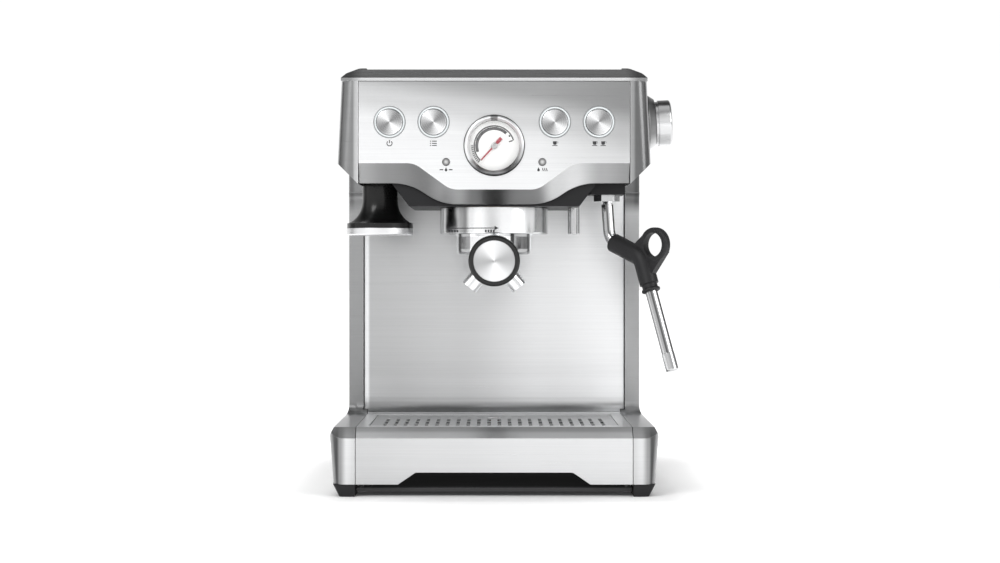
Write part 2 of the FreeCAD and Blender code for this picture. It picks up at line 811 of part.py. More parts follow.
def back_wall():
    """The rear wall, with a row of vents and the cord's hole."""
    part = body("BackWall")
    front = "dim.housing_back - dim.housing_wall"
    wall = [
        ("-dim.housing_half", "dim.base_low"),
        ("dim.housing_half", "dim.base_low"),
        ("dim.housing_half", "dim.seat_z + dim.housing_wall"),
        ("-dim.housing_half", "dim.seat_z + dim.housing_wall"),
    ]
    pad(part, outline(part, "XZ", front, wall), "dim.housing_wall")
    cord_hole = ring_outline(part, "XZ", "290", ("-80", "28"), "6.5")
    pocket(part, cord_hole, "20")
    vent = [("-70", "74"), ("-67", "74"), ("-67", "98"), ("-70", "98")]
    slot = pocket(part, outline(part, "XZ", "297", vent), "6")
    pattern = part.newObject("PartDesign::LinearPattern", "Vents")
    pattern.Originals = [slot]
    x_axis = next(p for p in part.Origin.OriginFeatures if p.Role == "X_Axis")
    pattern.Direction = (x_axis, [""])
    pattern.Length = 137
    pattern.Occurrences = 20
    part.Tip = pattern
    doc.recompute()
    return part


def tank_shelf():
    """The shelf that the tank stands on, with a hole for the tank's valve."""
    part = body("TankShelf")
    back = "dim.housing_back - dim.housing_wall"
    shelf = [
        ("-dim.housing_half", "222"),
        ("dim.housing_half", "222"),
        ("dim.housing_half", back),
        ("-dim.housing_half", back),
    ]
    pad(part, outline(part, "XY", "dim.seat_z", shelf), "dim.housing_wall")
    nipple = ring_outline(part, "XY", "dim.seat_z - 1", ("0", "262"), "7")
    pocket(part, nipple, "10")
    return part


def foot(x_sign, front, back):
    """One wedge-shaped foot under a cheek's corner."""
    low, high = [], []
    inner, outer, foot_outer = value("dim.base_seam") + 0.2, value("dim.base_half_low"), 119.5
    for x, y in ((inner, front), (outer, front), (outer, back), (inner, back)):
        high.append(Vector(x_sign * x, y, value("dim.base_low")))
    for x, y in ((inner, front), (foot_outer, front), (foot_outer, back), (inner, back)):
        low.append(Vector(x_sign * x, y, 0))
    wires = [Part.makePolygon(ring + ring[:1]) for ring in (low, high)]
    solid = Part.makeLoft(wires, True, True)
    corner = [e for e in solid.Edges if e.BoundBox.ZLength > 5 and abs(e.CenterOfMass.x) > 115]
    return solid.makeFillet(4.0, corner)


def feet():
    depth = value("dim.body_depth")
    solids = []
    for side in (-1, 1):
        solids.append(foot(side, 1.0, 34.0))
        solids.append(foot(side, depth - 36, depth - 4))
    shaped("feet", Part.makeCompound(solids))


def screws():
    """Cross-head screws that hold the rear housing."""
    solids = []
    for x in (-98.0, 98.0):
        for z in (20.0, 92.0):
            head = Part.makeCylinder(3.6, 1.8, Vector(x, 301.0, z), Y_AXIS)
            head = head.makeFillet(0.9, [e for e in head.Edges if e.CenterOfMass.y > 302.5])
            slot = Part.makeBox(4.0, 1.0, 0.8, Vector(x - 2.0, 302.0, z - 0.4))
            cross = Part.makeBox(0.8, 1.0, 4.0, Vector(x - 0.4, 302.0, z - 2.0))
            solids.append(head.cut(slot).cut(cross))
    shaped("housing_screws", Part.makeCompound(solids))


# ---------------------------------------------------------------- fascia fittings


def fittings():
    """Buttons, their lit rings, indicator lamps, pressure gauge and control board."""
    labels = (
        ("power_button", "-dim.button_outer_x"),
        ("program_button", "-dim.button_inner_x"),
        ("single_cup_button", "dim.button_inner_x"),
        ("double_cup_button", "dim.button_outer_x"),
    )
    cap = [("0", "-4.4"), ("4", "-4.4"), ("4", "-2.6"), ("dim.button_radius", "-2.6"),
           ("dim.button_radius", "2"), ("0", "2")]
    ring = [("dim.button_radius + 0.25", "-3"), ("dim.ring_radius", "-3"),
            ("dim.ring_radius", "0.6"), ("dim.button_radius + 0.25", "0.6")]
    rings = []
    for label, x in labels:
        part = turned("Button", cap, [("dim.button_radius", "2", "0.7")])
        sub_part(part, label, (x, "dim.head_front", "dim.button_z"), FRONT)
        lit = turned("Ring", ring, [("dim.ring_radius", "0.6", "0.4")])
        lit.Placement = Placement(Vector(), FRONT)
        bind(lit, Placement__Base__x=x, Placement__Base__y="dim.head_front",
             Placement__Base__z="dim.button_z")
        rings.append(lit)
    sub_part(group(*rings), "button_rings")
    lamps = []
    lamp_profile = [("0", "-3"), ("dim.lamp_radius", "-3"), ("dim.lamp_radius", "0.8"), ("0", "0.8")]
    for side in ("-", ""):
        lamp = turned("Lamp", lamp_profile, [("dim.lamp_radius", "0.8", "0.7")])
        lamp.Placement = Placement(Vector(), FRONT)
        bind(lamp, Placement__Base__x=f"{side}dim.lamp_x", Placement__Base__y="dim.head_front",
             Placement__Base__z="dim.lamp_z")
        lamps.append(lamp)
    sub_part(group(*lamps), "indicator_lamps")
    gauge()
    control_board()


def gauge():
    """The brew pressure gauge, from its case outwards; local Z comes out of the fascia."""
    at = ("0", "dim.head_front", "dim.gauge_z")
    case = [("0", "-24"), ("21.5", "-24"), ("21.5", "-1.6"), ("20", "-1.6"), ("20", "-6"),
            ("3", "-6"), ("3", "-22"), ("0", "-22")]
    sub_part(turned("Case", case), "gauge_case", at, FRONT)
    bezel = [("20.2", "-1.5"), ("21.5", "-1.5"), ("21.5", "0.1"), ("dim.gauge_radius", "0.1"),
             ("dim.gauge_radius", "2.2"), ("22.3", "4.4"), ("21.3", "4.4"), ("19.6", "1.8"),
             ("19.6", "1.2"), ("20.2", "1.2")]
    sub_part(turned("Bezel", bezel, [("22.3", "4.4", "0.4")]), "gauge_bezel", at, FRONT)
    dial = [("1.2", "-5.8"), ("19.7", "-5.8"), ("19.7", "-4.8"), ("1.2", "-4.8")]
    sub_part(turned("Dial", dial), "gauge_dial", at, FRONT)
    lens = [("0", "-1.2"), ("20", "-1.2"), ("20", "0.8"), ("19.4", "1.2"), ("0", "1.2")]
    sub_part(turned("Lens", lens), "gauge_lens", at, FRONT)
    needle = body("Needle")
    blade = [("-0.5", "15.2"), ("0.5", "15.2"), ("0.75", "-2.0"), ("1.35", "-4.0"),
             ("1.35", "-8.2"), ("-1.35", "-8.2"), ("-1.35", "-4.0"), ("-0.75", "-2.0")]
    pad(needle, outline(needle, "XY", "-3.6", blade), "0.7")
    hub = ring_outline(needle, "XY", "-4.3", ("0", "0"), "2.3")
    pad(needle, hub, "2.2")
    spindle = ring_outline(needle, "XY", "-10", ("0", "0"), "0.9")
    pad(needle, spindle, "7")
    rest_angle = 137.5
    sub_part(needle, "gauge_needle", at, FRONT.multiply(Rotation(Z_AXIS, rest_angle)))


def control_board():
    """The circuit board behind the fascia, cut round the gauge, with one switch per button."""
    part = body("Board")
    shape = [("-98", "266"), ("-62", "266"), ("-50", "252"), ("50", "252"), ("62", "266"),
             ("98", "266"), ("98", "315"), ("-98", "315")]
    pad(part, outline(part, "XZ", "27", shape), "1.6")
    hole = ring_outline(part, "XZ", "26", ("0", "dim.gauge_z"), "22.5")
    pocket(part, hole, "6")
    for x in ("-dim.button_outer_x", "-dim.button_inner_x", "dim.button_inner_x", "dim.button_outer_x"):
        corners = [(f"{x} {a}", f"dim.button_z {b}") for a, b in
                   (("- 3", "- 3"), ("+ 3", "- 3"), ("+ 3", "+ 3"), ("- 3", "+ 3"))]
        pad(part, outline(part, "XZ", "26.3", corners), "0.8")
    sub_part(part, "control_board")


# ---------------------------------------------------------------- group and portafilter


def brew_group():
    """The fixed group: block, collar with bayonet slots, seal, shower screen and its screw."""
    at = ("0", "dim.group_y", "0")
    block = [("0", "214.4"), ("26.5", "214.4"), ("26.5", "dim.collar_high"),
             ("35", "dim.collar_high"), ("35", "228.4"), ("40", "228.4"), ("40", "248"), ("20", "248"),
             ("20", "262"), ("0", "262")]
    sub_part(turned("Block", block), "group_block", at)
    collar = [("32.4", "dim.collar_low"), ("dim.collar_radius", "dim.collar_low"),
              ("dim.collar_radius", "dim.collar_high"), ("33.4", "dim.collar_high"),
              ("33.4", "214.4"), ("38.5", "214.4"), ("38.5", "207.6"), ("32.4", "207.6")]
    ring = turned("Collar", collar, [("dim.collar_radius", "dim.collar_low", "1")])
    slot_angles = (-41.0, 139.0)
    for angle in slot_angles:
        slot = wedge(31.0, 38.5, "dim.collar_low - 1", "208", angle, 17.0)
        ring = cut(ring, slot)
    sub_part(ring, "group_collar", at)
    seal = [("26.7", "217"), ("33.2", "217"), ("33.2", "223.8"), ("26.7", "223.8")]
    sub_part(turned("Seal", seal), "group_seal", at)
    screen = [("3", "211.6"), ("25", "211.6"), ("26.2", "213"), ("26.2", "214.2"), ("3", "214.2")]
    screw = [("0", "210"), ("5", "210"), ("5", "211.5"), ("2.8", "211.5"), ("2.8", "214.3"), ("0", "214.3")]
    fixed_screen = group(turned("Screen", screen), turned("ScreenScrew", screw, [("5", "210", "0.8")]))
    sub_part(fixed_screen, "shower_screen", at)
    outlet = [("3", "dim.collar_low"), ("4.9", "dim.collar_low"), ("4.9", "252"), ("3", "252")]
    pipe = turned("Outlet", outlet, [("4.9", "dim.collar_low", "0.5")])
    sub_part(pipe, "hot_water_outlet", ("dim.outlet_x", "dim.group_y", "0"))


def wedge(inner, outer, low, high, middle, half_width):
    """A sector of a ring about Z; angles in degrees from the front, positive to the right."""
    obj = doc.addObject("Part::Feature", "Sector")
    ring = Part.makeCylinder(outer, value(high) - value(low), Vector(0, 0, value(low)))
    start = -90 + middle - half_width
    sector = Part.makeCylinder(
        outer + 1, value(high) - value(low) + 2, Vector(0, 0, value(low) - 1), Z_AXIS, 2 * half_width
    )
    sector.rotate(Vector(), Z_AXIS, start)
    core = Part.makeCylinder(inner, value(high) - value(low) + 2, Vector(0, 0, value(low) - 1))
    obj.Shape = ring.common(sector).cut(core)
    return obj


def portafilter():
    """The filter holder: cup with bayonet lugs and neck, basket, spouts, handle and end cap."""
    at = ("0", "dim.group_y", "0")
    cup = [("5.2", "dim.cup_low"), ("dim.cup_radius", "dim.cup_low"), ("dim.cup_radius", "201"),
           ("31.6", "203"), ("31.6", "dim.cup_high"), ("28.8", "dim.cup_high"),
           ("28.8", "dim.cup_low + 3"), ("5.2", "dim.cup_low + 3")]
    shell = turned("Cup", cup, [("dim.cup_radius", "dim.cup_low", "4.5")])
    lug_reach = value("dim.lug_radius")
    lugs = [wedge(30.5, lug_reach, "208.4", "213.4", angle, 15.0) for angle in (0.0, 180.0)]
    tilt = Rotation(X_AXIS, 90 + value("dim.handle_tilt"))
    neck = rod("6.5", ("0", "-27", "dim.handle_z"), "18", tilt)
    neck_core = rod("28.9", ("0", "0", "dim.cup_low + 3"), "30")
    casting = fuse(shell, cut(neck, neck_core), *lugs)
    sub_part(casting, "portafilter_cup", at)
    basket = [("0", "193"), ("25", "193"), ("28.3", "197"), ("28.3", "dim.cup_high + 0.1"),
              ("30.8", "dim.cup_high + 0.1"), ("30.8", "dim.cup_high + 0.7"),
              ("27.6", "dim.cup_high + 0.7"), ("27.6", "197.4"), ("24.6", "193.7"), ("0", "193.7")]
    sub_part(turned("Basket", basket), "filter_basket", at)
    spouts(at)
    handle(tilt)


def spouts(at):
    """The double spout: a hub under the cup with two splayed pipes."""
    hub_top = "dim.cup_low - 0.1"
    hub = rod("9.5", ("0", "0", hub_top + " - 7"), "7")
    pipes, bores = [], []
    for side in (-1, 1):
        lean = Rotation(Y_AXIS, 180 - side * value("dim.spout_tilt"))
        for radius, length, kept in (("6.9", "31.6", pipes), ("5.7", "40", bores)):
            kept.append(rod(radius, ("0", "0", hub_top + " - 2.1"), length, lean))
    flat = box(("-60", "60"), ("-30", "30"), (hub_top, "dim.cup_low + 20"))
    inlet = rod("3.5", ("0", "0", hub_top + " - 5"), "8")
    sub_part(cut(fuse(hub, *pipes), flat, inlet, *bores), "portafilter_spout", at)


def handle(tilt):
    """The grip, turned about its own axis, and the steel disc in its end."""
    start = Vector(0, value("dim.group_y") - 27, value("dim.handle_z"))
    along = tilt.multVec(Z_AXIS)
    base = start + along * 18.1
    place = (str(base.x), str(base.y), str(base.z))
    curve = [(9.2, 1.5), (10.4, 5), (9.8, 14), (10.4, 28), (13.2, 44), (17.0, 57), (19.2, 66)]
    lower, upper = [(0, 0), (8, 0)], [(19.4, 70), (18.2, 71.3), (15.8, 71.3), (15.8, 68), (0, 68)]
    shaped("portafilter_handle", swept_round(lower, curve, upper), base, tilt)
    cap = [("0", "68.1"), ("15.7", "68.1"), ("15.7", "70.6"), ("0", "71.2")]
    sub_part(turned("Cap", cap), "handle_cap", place, tilt)


# ---------------------------------------------------------------- tamper


def tamper():
    """The tamper stored under the head: a flared grip with a steel foot."""
    at = ("dim.tamper_x", "dim.tamper_y", "0")
    foot_top = "dim.tamper_low + 5.6"
    steel = [("0", "dim.tamper_low"), ("dim.tamper_radius", "dim.tamper_low"),
             ("dim.tamper_radius", foot_top), ("0", foot_top)]
    sub_part(turned("TamperFoot", steel, [("dim.tamper_radius", "dim.tamper_low", "1")]), "tamper_base", at)
    curve = [(26.3, 211.4), (21.6, 214.0), (17.6, 218.2), (15.0, 224.0), (14.1, 232), (14.0, 244)]
    lower, upper = [(0, 207.6), (26.3, 207.6)], [(14.0, 259), (11, 262), (0, 262)]
    place = (value(at[0]), value(at[1]), 0)
    shaped("tamper_grip", swept_round(lower, curve, upper), place)


# ---------------------------------------------------------------- steam


def steam_dial():
    """The dial on the right side, its conical surround and the valve it turns."""
    at = DIAL_AT
    surround = [("6.3", "0.2"), ("23.6", "0.2"), ("23.2", "3"), ("19.6", "8.2"), ("16.5", "8.2"),
                ("16.5", "5"), ("6.3", "5")]
    sub_part(turned("Surround", surround, [("23.2", "3", "1.5")]), "dial_surround", at, OUT_OF_SIDE)
    knob = [("0", "-20"), ("4", "-20"), ("4", "8.8"), ("17.4", "8.8"), ("17.4", "11"),
            ("dim.dial_radius", "11"), ("dim.dial_radius", "20.4"), ("16.6", "21.3"), ("0", "21.9")]
    sub_part(turned("Knob", knob, [("dim.dial_radius", "20.4", "1.6")]), "steam_dial", at, OUT_OF_SIDE)
    valve = cut(
        box(("64", "102"), ("dim.dial_y - 14", "dim.dial_y + 14"), ("dim.dial_z - 14", "dim.dial_z + 14")),
        rod("4.1", at, "21", INTO_SIDE),
    )
    sub_part(valve, "steam_valve")


def wand_points():
    """The wand's centre line in its own upright plane: the ball, two elbows and the tip."""
    return [
        Vector(0, 0, 0),
        Vector(3.3, 0, -35.4),
        Vector(37.3, 0, -49.0),
        Vector(68.3, 0, -136.8),
    ]


def steam_wand():
    """Ball-jointed steam wand: socket nut, ball seat, bent tube, insulated grip with a finger loop."""
    at = ("dim.wand_x", "dim.wand_y", "dim.wand_z")
    place = (value(at[0]), value(at[1]), value(at[2]))
    socket = doc.addObject("Part::Sphere", "Socket")
    bind(socket, Radius="dim.wand_ball + 0.25")
    nut = cut(rod("10.4", ("0", "0", "-4.2"), "17"), rod("8.6", ("0", "0", "-0.5"), "20"), socket)
    hexagon = doc.addObject("Part::Prism", "Hexagon")
    hexagon.Polygon = 6
    hexagon.Circumradius = 10.7
    hexagon.Height = 30
    hexagon.Placement = Placement(Vector(0, 0, -10), UP)
    shape = doc.addObject("Part::Common", "HexNut")
    shape.Base = nut
    shape.Tool = hexagon
    sub_part(shape, "wand_socket", at)
    ball = value("dim.wand_ball")
    seat = Part.makeCylinder(8.3, 8.0, Vector(0, 0, -0.2)).cut(Part.makeSphere(ball + 0.25))
    throat = Part.makeCylinder(3.4, 20, Vector(0, 0, -5))
    shaped("wand_seat", seat.cut(throat), place)
    turn = Rotation(Z_AXIS, value("dim.wand_plane"))
    points = wand_points()
    steel = value("dim.wand_tube")
    root_axis = (points[1] - points[0]).normalize()
    end_axis = (points[3] - points[2]).normalize()
    neck_length, shoulder, bore = 5.2, 1.6, 2.0
    tube_start = points[0] + root_axis * (neck_length + shoulder)
    bends = [14.0, 16.0]
    wand = tube([tube_start, points[1], points[2], points[3] - end_axis * 14], bends, steel)
    wand = wand.fuse([
        Part.makeCone(3.1, steel, shoulder, tube_start - root_axis * shoulder, root_axis),
        Part.makeCylinder(3.1, neck_length, points[0], root_axis),
        Part.makeSphere(ball),
    ])
    mouth = Part.makeCylinder(bore + 0.6, 10).fuse(Part.makeSphere(bore + 0.6))
    wand = wand.cut(tube(points, bends, bore)).cut(mouth)
    shaped("wand_tube", wand.removeSplitter(), place, turn)
    tip_radius = value("dim.wand_steel")
    tip = Part.makeCylinder(tip_radius, 13.9, points[3] - end_axis * 13.9, end_axis)
    tip = tip.makeFillet(1.0, [e for e in tip.Edges if e.CenterOfMass.z < points[3].z + 1])
    tip = tip.cut(Part.makeCylinder(0.8, 40, points[3] - end_axis * 20, end_axis))
    shaped("wand_tip", tip, place, turn)
    wand_grip(points, place, turn)


def wand_grip(points, place, turn):
    """The rubber grip moulded over both elbows, with its finger loop and end collar."""
    outer, inner = value("dim.wand_grip"), value("dim.wand_tube") + 0.05
    first = (points[1] - points[0]).normalize()
    last = (points[3] - points[2]).normalize()
    across = (points[2] - points[1]).normalize()
    start = points[1] + across * 4.8
    finish = points[2] + last * 22
    sleeve = tube([start, points[2], finish], [11.0], outer)
    collar = Part.makeCylinder(outer - 1.4, 5, finish, last)
    bead = Part.makeTorus(outer - 1.6, 1.5, finish + last * 5, last)
    bead = bead.fuse(Part.makeCylinder(outer - 1.6, 3, finish + last * 3.6, last))
    elbow = points[2]
    centre = elbow + Vector(13.2, 0, 10.0)
    loop_outer = Part.makeCylinder(13.6, 6.4, centre + Vector(0, -3.2, 0), Y_AXIS)
    loop_outer = loop_outer.makeFillet(1.6, loop_outer.Edges[:1] + loop_outer.Edges[2:3])
    corners = [
        centre + Vector(-11.0, 0, 7.2),
        elbow + Vector(-9.5, 0, 8.0),
        elbow + Vector(-6.0, 0, 0),
        elbow + Vector(3.0, 0, -14.0),
        elbow + Vector(11.5, 0, -13.0),
        centre + Vector(12.2, 0, -5.6),
    ]
    half_web = Vector(0, -2.9, 0)
    web = Part.makePolygon([corner + half_web for corner in corners + corners[:1]])
    web = Part.Face(web).extrude(half_web * -2)
    grip = sleeve.fuse([collar, bead, loop_outer, web])
    grip = grip.cut(Part.makeCylinder(9.4, 20, centre + Vector(0, -10, 0), Y_AXIS))
    core = tube(points, [14.0, 16.0], inner)
    grip = grip.cut(core)
    solids = sorted(grip.Solids, key=lambda s: s.Volume)
    shaped("wand_grip", solids[-1].removeSplitter(), place, turn)


# ---------------------------------------------------------------- drip tray


def drip_tray():
    """The tray that slides out of the base: steel cover, plastic dish, grate and float."""
    cover = body("TrayCover")
    half = "dim.base_seam - 0.5"
    section = [
        ("0", "dim.base_low"),
        ("0", "dim.base_front_top"),
        ("dim.base_bevel", "dim.base_top"),
        ("dim.tray_back", "dim.base_top"),
        ("dim.tray_back", "dim.base_top - 6"),
        ("14", "dim.base_top - 6"),
        ("14", "dim.base_low"),
    ]
    pad(cover, outline(cover, "YZ", f"-({half})", section), f"2 * ({half})")
    inner = [
        ("dim.sheet_metal", "dim.base_low - 1"),
        ("dim.sheet_metal", "dim.base_front_top - 0.6"),
        ("dim.base_bevel + 0.4", "dim.base_top - dim.sheet_metal"),
        ("dim.tray_back - dim.sheet_metal", "dim.base_top - dim.sheet_metal"),
        ("dim.tray_back - dim.sheet_metal", "dim.base_low - 1"),
    ]
    inside = f"2 * ({half} - dim.sheet_metal)"
    pocket(cover, outline(cover, "YZ", f"dim.sheet_metal - ({half})", inner), inside)
    window = [("-98", "24"), ("98", "24"), ("98", "138"), ("-98", "138")]
    pocket(cover, outline(cover, "XY", "dim.base_top - 5", window), "20")
    notch = [
        ("-dim.notch_half_low", "dim.base_low - 1"),
        ("-dim.notch_half_low", "dim.base_low"),
        ("-dim.notch_half_top", "dim.notch_top"),
        ("dim.notch_half_top", "dim.notch_top"),
        ("dim.notch_half_low", "dim.base_low"),
        ("dim.notch_half_low", "dim.base_low - 1"),
    ]
    pocket(cover, outline(cover, "XZ", "-1", notch), "12")
    corner = value("dim.notch_half_top")
    fillet(cover, "4", lambda e: runs_along(e, Y_AXIS) and abs(abs(e.CenterOfMass.x) - corner) < SMALL)
    sub_part(cover, "tray_cover")
    dish = body("TrayDish")
    footprint = [("-101", "7"), ("101", "7"), ("101", "143.5"), ("-101", "143.5")]
    pad(dish, outline(dish, "XY", "20", footprint), "29")
    fillet(dish, "8", lambda e: runs_along(e, Z_AXIS))
    well = [("-95", "10.5"), ("95", "10.5"), ("95", "140"), ("-95", "140")]
    pocket(dish, outline(dish, "XY", "22.5", well), "40")
    ledge = [("-98.5", "23"), ("98.5", "23"), ("98.5", "140"), ("-98.5", "140")]
    pocket(dish, outline(dish, "XY", "46.2", ledge), "10")
    runner = [("-100", "14"), ("-95", "14"), ("-95", "140"), ("-100", "140")]
    for corners in (runner, [(f"-({a})", b) for a, b in runner]):
        pad(dish, outline(dish, "XY", "6.8", corners), "13.3")
    sub_part(dish, "tray_dish")
    drip_grate()
    float_profile = [("0", "22.9"), ("9", "22.9"), ("9", "36"), ("4", "38"), ("4", "51"), ("0", "51")]
    sub_part(turned("Float", float_profile, [("4", "51", "1")]), "tray_float", ("0", "118", "0"))


def drip_grate():
    """The steel grate: a folded sheet with three rows of drain slots and a hole for the float."""
    part = body("Grate")
    sheet = [("-97.6", "24.4"), ("97.6", "24.4"), ("97.6", "137.6"), ("-97.6", "137.6")]
    pad(part, outline(part, "XY", "46.5", sheet), "5.3")
    fillet(part, "3", lambda e: runs_along(e, Z_AXIS))
    under = [("-96.4", "25.6"), ("96.4", "25.6"), ("96.4", "136.4"), ("-96.4", "136.4")]
    pocket(part, outline(part, "XY", "46", under), "4.6")
    slot = [("-88", "32"), ("-85", "32"), ("-85", "56"), ("-88", "56")]
    cut_slot = pocket(part, outline(part, "XY", "46", slot), "10")
    across = part.newObject("PartDesign::LinearPattern", "SlotsAcross")
    axes = {p.Role: p for p in part.Origin.OriginFeatures}
    across.Direction = (axes["X_Axis"], [""])
    across.Length = 173
    across.Occurrences = 22
    back = part.newObject("PartDesign::LinearPattern", "SlotsBack")
    back.Direction = (axes["Y_Axis"], [""])
    back.Length = 52
    back.Occurrences = 3
    multi = part.newObject("PartDesign::MultiTransform", "Slots")
    multi.Originals = [cut_slot]
    multi.Transformations = [across, back]
    part.Tip = multi
    doc.recompute()
    hole = ring_outline(part, "XY", "46", ("0", "118"), "5")
    pocket(part, hole, "10")
    sub_part(part, "drip_grate")


# ---------------------------------------------------------------- tank


def water_tank():
    """The rear tank: an open box on a spring valve, with a filter holder and a hinged lid."""
    tank = body("Tank")
    outer = [("-dim.tank_half", "dim.tank_front"), ("dim.tank_half", "dim.tank_front"),
             ("dim.tank_half", "dim.tank_back"), ("-dim.tank_half", "dim.tank_back")]
    pad(tank, outline(tank, "XY", "dim.tank_low", outer), "dim.tank_high - dim.tank_low")
    fillet(tank, "9", lambda e: runs_along(e, Z_AXIS))
    inner = [
        ("-dim.tank_half + dim.tank_wall", "dim.tank_front + dim.tank_wall"),
        ("dim.tank_half - dim.tank_wall", "dim.tank_front + dim.tank_wall"),
        ("dim.tank_half - dim.tank_wall", "dim.tank_back - dim.tank_wall"),
        ("-dim.tank_half + dim.tank_wall", "dim.tank_back - dim.tank_wall"),
    ]
    base = "dim.tank_low + dim.tank_wall"
    pocket(tank, outline(tank, "XY", base, inner), "dim.tank_high - dim.tank_low")
    hole = ring_outline(tank, "XY", "dim.tank_low - 1", ("0", "262"), "6")
    pocket(tank, hole, "6")
    sub_part(tank, "water_tank")
    valve = [("0", "-2.4"), ("5.8", "-2.4"), ("5.8", "2.4"), ("9", "2.4"), ("9", "6"), ("0", "6")]
    sub_part(turned("TankValve", valve), "tank_valve", ("0", "262", "dim.tank_low"))
    filter_profile = [("9.2", "2.4"), ("18", "2.4"), ("18", "60"), ("6", "66"), ("0", "66"),
                      ("0", "62"), ("9.2", "62")]
    holder = turned("Filter", filter_profile, [("18", "60", "4")])
    sub_part(holder, "filter_holder", ("0", "262", "dim.tank_low"))
    lid = body("Lid")
    plate = [("-dim.lid_half", "dim.deck_back + 2.4"), ("dim.lid_half", "dim.deck_back + 2.4"),
             ("dim.lid_half", "dim.body_depth - 0.5"), ("-dim.lid_half", "dim.body_depth - 0.5")]
    pad(lid, outline(lid, "XY", "dim.tank_high + 0.8", plate), "9.6")
    fillet(lid, "5", lambda e: runs_along(e, Z_AXIS))
    under = [("-dim.lid_half + 2", "dim.deck_back + 5"), ("dim.lid_half - 2", "dim.deck_back + 5"),
             ("dim.lid_half - 2", "dim.body_depth - 9"), ("-dim.lid_half + 2", "dim.body_depth - 9")]
    pocket(lid, outline(lid, "XY", "dim.tank_high", under), "8")
    recess = [("-22", "dim.deck_back"), ("22", "dim.deck_back"), ("22", "dim.deck_back + 12"),
              ("-22", "dim.deck_back + 12")]
    pocket(lid, outline(lid, "XY", "dim.tank_high + 9.2", recess), "5")
    top = value("dim.tank_high") + 10.4
    fillet(lid, "1.2", lambda e: abs(e.BoundBox.ZMin - top) < SMALL and e.BoundBox.ZLength < SMALL
           and not (abs(e.CenterOfMass.x) < 23 and e.CenterOfMass.y < value("dim.deck_back") + 13))
    sub_part(lid, "tank_lid")


# ---------------------------------------------------------------- inside


def water_path():
    """Pump, flow meter, heater, solenoid valve and the pipes between them."""
    pump = fuse(
        rod("17", ("-46", "258", "40"), "58", RIGHT),
        box(("-34", "2"), ("234", "282"), ("18", "66")),
        rod("9", ("12", "258", "40"), "30", RIGHT),
    )
    sub_part(pump, "pump")
    mounts = []
    for x in ("-44", "14"):
        outer = rod("19", (x, "258", "40"), "5", RIGHT)
        bracket = fuse(outer, box((x, f"{x} + 5"), ("250", "266"), ("6.5", "24")))
        mounts.append(cut(bracket, rod("17.1" if x == "-44" else "9.1", (f"{x} - 1", "258", "40"),
                                       "10", RIGHT)))
    sub_part(group(*mounts), "pump_mounts")
    meter = turned("Meter", [("0", "0"), ("16", "0"), ("16", "18"), ("5", "20"), ("5", "26"), ("0", "26")])
    sub_part(meter, "flow_meter", ("60", "262", "70"))
    coil = turned("Heater", [("12", "0"), ("27", "0"), ("27", "96"), ("12", "96")],
                  [("27", "0", "3"), ("27", "96", "3")])
    sub_part(coil, "thermocoil", ("-80", "186", "283"), RIGHT)
    solenoid = fuse(
        box(("30", "56"), ("132", "160"), ("248.4", "268")),
        rod("10", ("43", "146", "266"), "34"),
    )
    sub_part(solenoid, "solenoid_valve")
    feed = tube([Vector(0, 262, 105.6), Vector(0, 262, 84), Vector(43.8, 262, 84)], [10.0], 4.0, 2.5)
    to_pump = tube([Vector(60, 262, 69.8), Vector(60, 262, 40), Vector(44, 258, 40)], [8.0], 4.0, 2.5)
    shaped("water_hoses", Part.makeCompound([feed, to_pump]))
    up = tube(
        [Vector(-46.2, 258, 40), Vector(-88, 258, 40), Vector(-88, 200, 40), Vector(-88, 200, 283),
         Vector(-80.2, 200, 283)],
        [12.0, 12.0, 3.5], 3.0, 2.0,
    )
    to_valve = tube(
        [Vector(16.2, 200, 283), Vector(84, 200, 283), Vector(84, 90, 292)], [14.0], 3.0, 2.0
    )
    to_group = tube(
        [Vector(43, 146, 300.2), Vector(43, 146, 312), Vector(0, 80, 312), Vector(0, 80, 262.1)],
        [6.0, 14.0], 3.0, 2.0,
    )
    to_wand = tube(
        [Vector(84, 60.9, 292), Vector(84, 48, 292), Vector(90, 62, 262), Vector(90, 62, 241)],
        [5.0, 9.0], 3.0, 2.0,
    )
    shaped("pressure_pipes", Part.makeCompound([up, to_valve, to_group, to_wand]))


# ---------------------------------------------------------------- build


def main():
    casing()
    fittings()
    brew_group()
    portafilter()
    tamper()
    steam_dial()
    steam_wand()
    drip_tray()
    water_tank()
    water_path()
    doc.recompute()
    for obj in doc.Objects:
        bad = [state for state in obj.State if state in ("Invalid", "Error")]
        assert not bad, f"{obj.Name} ({obj.Label}) is {bad}"
    os.makedirs("parts", exist_ok=True)
    whole = FreeCAD.BoundBox()
    for obj in SUB_PARTS:
        shape = obj.Shape
        assert not shape.isNull() and shape.isValid(), f"{obj.Label} has no valid shape"
        assert shape.Solids, f"{obj.Label} holds no solid"
        whole.add(shape.BoundBox)
        shape.exportStep(f"parts/{obj.Label}.step")
    print("sub-parts", len(SUB_PARTS), "box", whole)


main()
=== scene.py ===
"""Looks of the espresso machine: finishes for every CAD node, fine surface details, studio, camera."""

from math import cos, pi, radians, sin, tau

